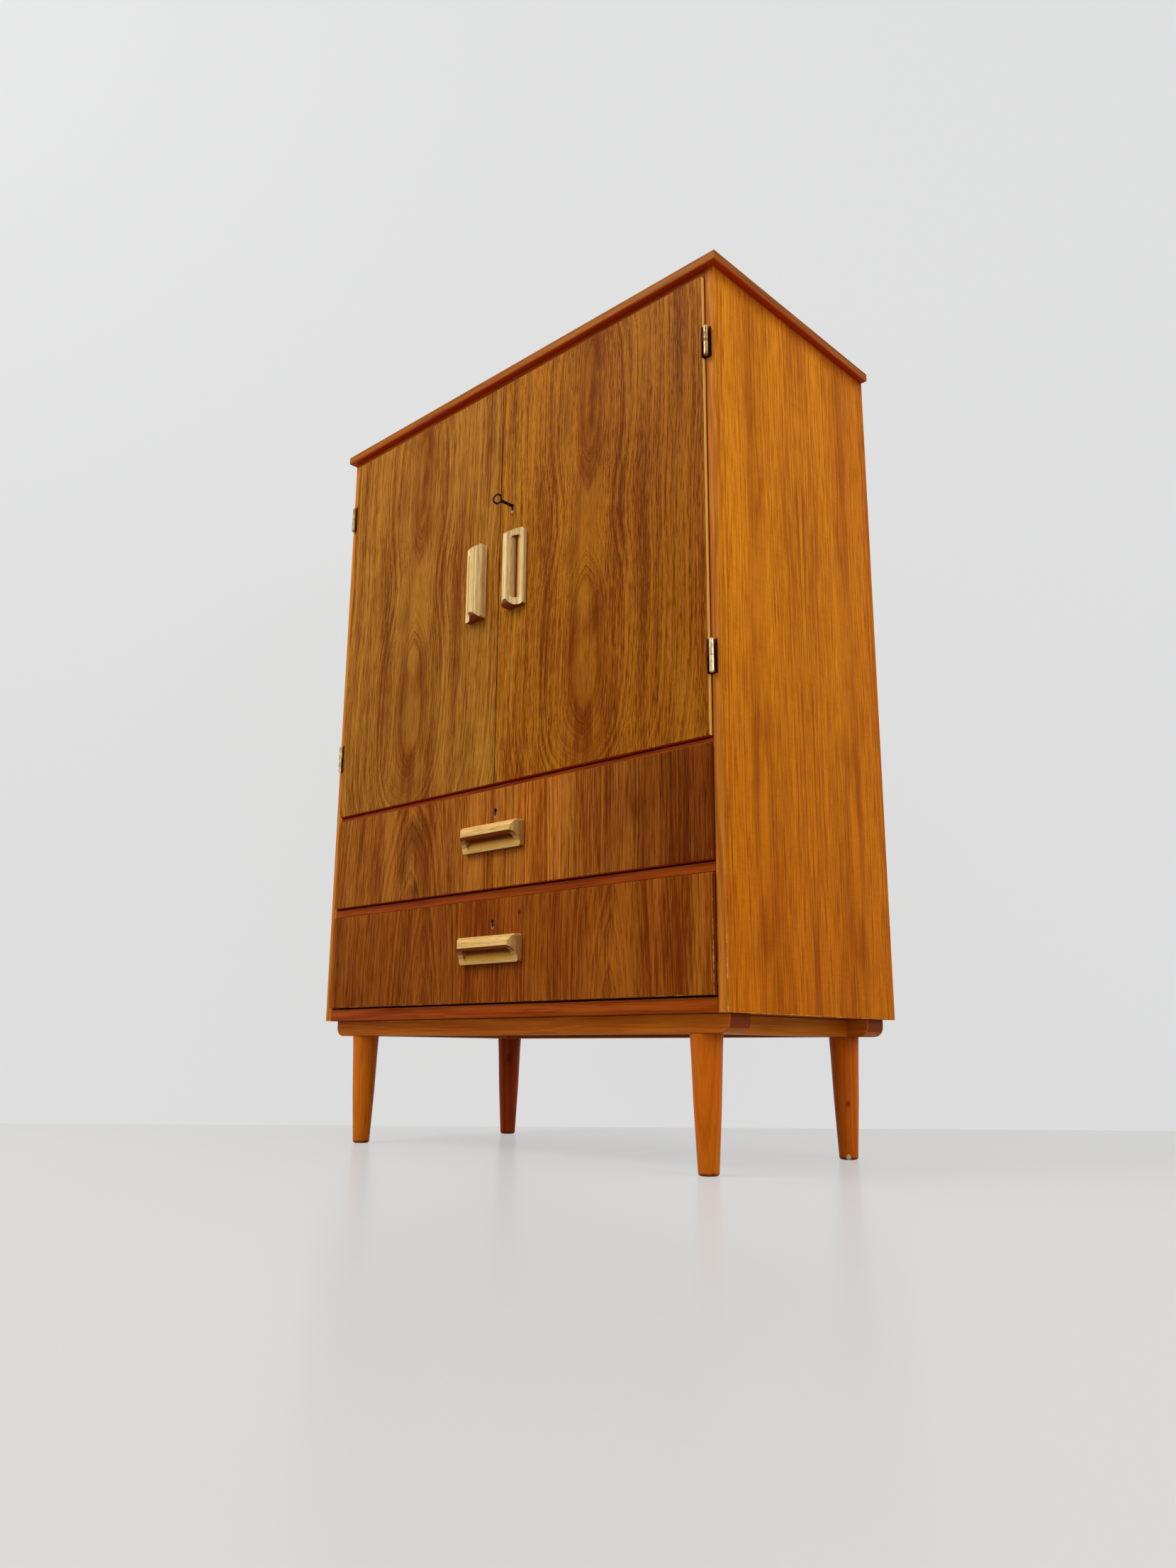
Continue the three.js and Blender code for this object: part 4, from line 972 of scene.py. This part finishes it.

# ---------------------------------------------------------------- metalwork
# Brass lift-off hinges, brass lock cases and bolts, a dark steel key. The nickel keyhole liners
# are painted black inside as shade, their rims dark but for a painted highlight on the foot.


def metal_material(name, color, dull, roughness, darkening=None):
    """Old metal: brighter and duller by patches, and dark wherever the darkening mask says."""
    material, tree = empty_material(name)
    where = node(tree, "TexCoord").outputs["Object"]
    patch = node(tree, "TexNoise", {"Vector": where, "Scale": 90.0, "Detail": 5.0, "Roughness": 0.6})
    mask = ramp(tree, patch.outputs["Fac"], 0.38, 0.62)
    metallic = 1.0
    gloss = 0.5
    rough = calc(tree, "MULTIPLY_ADD", mask, 0.2, roughness)
    shown = tint(tree, mask, color, dull)
    if darkening:
        darkness = darkening(tree, where)
        shown = tint(tree, darkness, shown, rgb(0.075, 0.010, 0.005))
        metallic = less(tree, 1.0, darkness)
        gloss = calc(tree, "MULTIPLY_ADD", darkness, -0.47, 0.5)
        rough = most(tree, rough, times(tree, darkness, 0.8))
    surface = node(tree, "BsdfPrincipled", {
        "Base Color": shown, "Roughness": rough,
        "Metallic": metallic, "Specular IOR Level": gloss})
    node(tree, "OutputMaterial", {"Surface": surface.outputs[0]})
    return material


def away_from_knuckle(x, y, radius):
    """A darkening mask for a hinge: its leaves lie dark in their mortises, only the knuckle is bright."""
    def mask(tree, where):
        flat = node(tree, "Mapping", {"Vector": where, "Location": (-x, -y, 0), "Scale": (1, 1, 0)})
        away = node(tree, "VectorMath", {0: flat.outputs[0]}, operation="LENGTH")
        return ramp(tree, away.outputs["Value"], radius, radius + 0.0006)
    return mask


def painted_dark_behind_keyhole(tree, where):
    """A darkening mask for a lock case: the face behind the keyhole is painted black, as the shade seen in
    the keyhole.
    """
    return ramp(tree, looking(tree, "Y"), -0.5, -0.8)


def above_the_foot(low_z):
    """A darkening mask for a keyhole liner: painted black inside as shade, its rim dark but for the foot,
    left bright as a painted highlight.
    """
    def mask(tree, where):
        # Painted shade in the bore, and a painted highlight left on the foot.
        bore = ramp(tree, coordinate(tree, where, "Y"), DOOR_FACE + 0.0002, DOOR_FACE + 0.0006)
        rim = ramp(tree, coordinate(tree, where, "Z"), low_z + 0.002, low_z + 0.006, 0.0, 0.85)
        return most(tree, bore, rim)
    return mask


KNUCKLE_RADIUS = 0.004
leaf_low, leaf_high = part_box("hinge_right_upper_door_leaf")
knuckle_x = leaf_high.x - KNUCKLE_RADIUS
knuckle_y = leaf_low.y + KNUCKLE_RADIUS
lock_brass = metal_material("lock_brass", rgb(0.62, 0.48, 0.22), rgb(0.42, 0.31, 0.14), 0.3,
                            darkening=painted_dark_behind_keyhole)
dark_steel = metal_material("dark_steel", rgb(0.055, 0.045, 0.038), rgb(0.03, 0.024, 0.02), 0.38)

for side, sign in (("left", -1), ("right", 1)):
    # Painted reflection: the lower hinges are bright and the upper ones dark, for how the room's light
    # shows in them.
    for height, bright, dull in (
            ("lower", rgb(0.80, 0.67, 0.42), rgb(0.50, 0.37, 0.18)),
            ("upper", rgb(0.42, 0.29, 0.13), rgb(0.20, 0.12, 0.04))):
        brass_with_painted_light = metal_material(
            f"aged_brass_{side}_{height}", bright, dull, 0.30,
            darkening=away_from_knuckle(sign * knuckle_x, knuckle_y, KNUCKLE_RADIUS))
        refined(f"hinge_{side}_{height}_door_leaf", f"{side}_door", brass_with_painted_light)
        refined(f"hinge_{side}_{height}_case_leaf", "cabinet", brass_with_painted_light)
for name, body in (
        ("door_lock_case", "right_door"), ("door_lock_bolt", "right_door_bolt"),
        ("left_door_bolt_guide", "left_door"), ("upper_drawer_lock_case", "upper_drawer"),
        ("upper_drawer_lock_bolt", "upper_drawer_bolt"), ("lower_drawer_lock_case", "lower_drawer"),
        ("lower_drawer_lock_bolt", "lower_drawer_bolt")):
    refined(name, body, lock_brass)
for name, body in (("key", "door_key"), ("left_door_bolt", "left_bolt")):
    refined(name, body, dark_steel, keep_angle=50)
for name, body in (
        ("door_keyhole_liner", "right_door"), ("upper_drawer_keyhole_liner", "upper_drawer"),
        ("lower_drawer_keyhole_liner", "lower_drawer")):
    nickel = metal_material(f"nickel_{name}", rgb(0.80, 0.72, 0.60), rgb(0.58, 0.48, 0.36), 0.3,
                            darkening=above_the_foot(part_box(name)[0].z))
    refined(name, body, nickel)

# ---------------------------------------------------------------- pins and screws
# Steel panel pins hold the back into its rebates, and slotted brass screws hold the lock cases.
# Only the heads show, each turned as the screwdriver left it.


def stack(shape, at, outlines):
    """Adds a closed solid to a mesh: outlines at rising heights joined up, with a lid at each end."""
    loops = [[shape.verts.new(at @ Vector(point)) for point in outline] for outline in outlines]
    for lower, upper in zip(loops, loops[1:]):
        for here in range(len(lower)):
            beyond = (here + 1) % len(lower)
            shape.faces.new((lower[here], lower[beyond], upper[beyond], upper[here]))
    shape.faces.new(loops[0][::-1])
    shape.faces.new(loops[-1])


SIDES = 16
ARC_STEPS = 10
SCREW_TURN = 0.7


def round_outline(radius, height):
    """A full round of a head at one height."""
    turns = [math.tau * part / SIDES for part in range(SIDES)]
    return [(radius * math.cos(turn), radius * math.sin(turn), height) for turn in turns]


def cheek_outline(radius, height, slot, side):
    """One side of a slotted head at one height: an arc closed by the straight edge of the slot."""
    reach = math.acos(slot / 2 / radius)
    turns = [side + reach * (2 * part / ARC_STEPS - 1) for part in range(ARC_STEPS + 1)]
    return [(radius * math.cos(turn), radius * math.sin(turn), height) for turn in turns]


def heads(name, body, places, radius, height, slot, material):
    """Low round heads on a face that looks back, with a screwdriver's slot if it has a width."""
    shape = bmesh.new()
    backwards = Vector((0, 0, 1)).rotation_difference(Vector((0, 1, 0))).to_matrix().to_4x4()
    for number, place in enumerate(places):
        at = Matrix.Translation(Vector(place)) @ backwards @ Matrix.Rotation(SCREW_TURN * number, 4, "Z")
        if not slot:
            stack(shape, at, [
                round_outline(radius, 0.0), round_outline(radius, 0.4 * height),
                round_outline(0.7 * radius, 0.85 * height), round_outline(0.3 * radius, height)])
            continue
        stack(shape, at, [round_outline(radius, 0.0), round_outline(radius, 0.4 * height)])
        for side in (0.0, math.pi):
            stack(shape, at, [
                cheek_outline(0.99 * radius, 0.3 * height, slot, side),
                cheek_outline(0.85 * radius, height, slot, side)])
    mesh = bpy.data.meshes.new(name)
    shape.to_mesh(mesh)
    shape.free()
    mesh.materials.append(material)
    made = bpy.data.objects.new(name, mesh)
    scene.collection.objects.link(made)
    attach(made, body)


pin_steel = metal_material("pin_steel", rgb(0.42, 0.40, 0.37), rgb(0.24, 0.20, 0.17), 0.4)
screw_brass = metal_material("screw_brass", rgb(0.66, 0.50, 0.24), rgb(0.44, 0.32, 0.14), 0.35)
low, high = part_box("back_panel")
PIN_INSET = 0.008
SPACES_ACROSS = 8
SPACES_UP = 10
ends = (low.x + PIN_INSET, high.x - PIN_INSET)
rows = (low.z + PIN_INSET, high.z - PIN_INSET)
across = [ends[0] + (ends[1] - ends[0]) * k / SPACES_ACROSS for k in range(SPACES_ACROSS + 1)]
upward = [rows[0] + (rows[1] - rows[0]) * k / SPACES_UP for k in range(1, SPACES_UP)]
rim = [(x, high.y, z) for x in across for z in rows]
rim += [(x, high.y, z) for x in ends for z in upward]
heads("back_panel_pins", "cabinet", rim, radius=0.0014, height=0.0003, slot=0.0, material=pin_steel)

SCREW_INSET = 0.005
for name, body in (
        ("door_lock_case", "right_door"), ("upper_drawer_lock_case", "upper_drawer"),
        ("lower_drawer_lock_case", "lower_drawer")):
    low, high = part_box(name)
    corners = [(x, high.y, z) for x in (low.x + SCREW_INSET, high.x - SCREW_INSET)
               for z in (low.z + SCREW_INSET, high.z - SCREW_INSET)]
    heads(f"{name}_screws", body, corners, radius=0.0027, height=0.0006, slot=0.0007, material=screw_brass)

# ---------------------------------------------------------------- sizes and finish
# The box of the dressed wardrobe is worked out, in metres.

low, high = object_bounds()
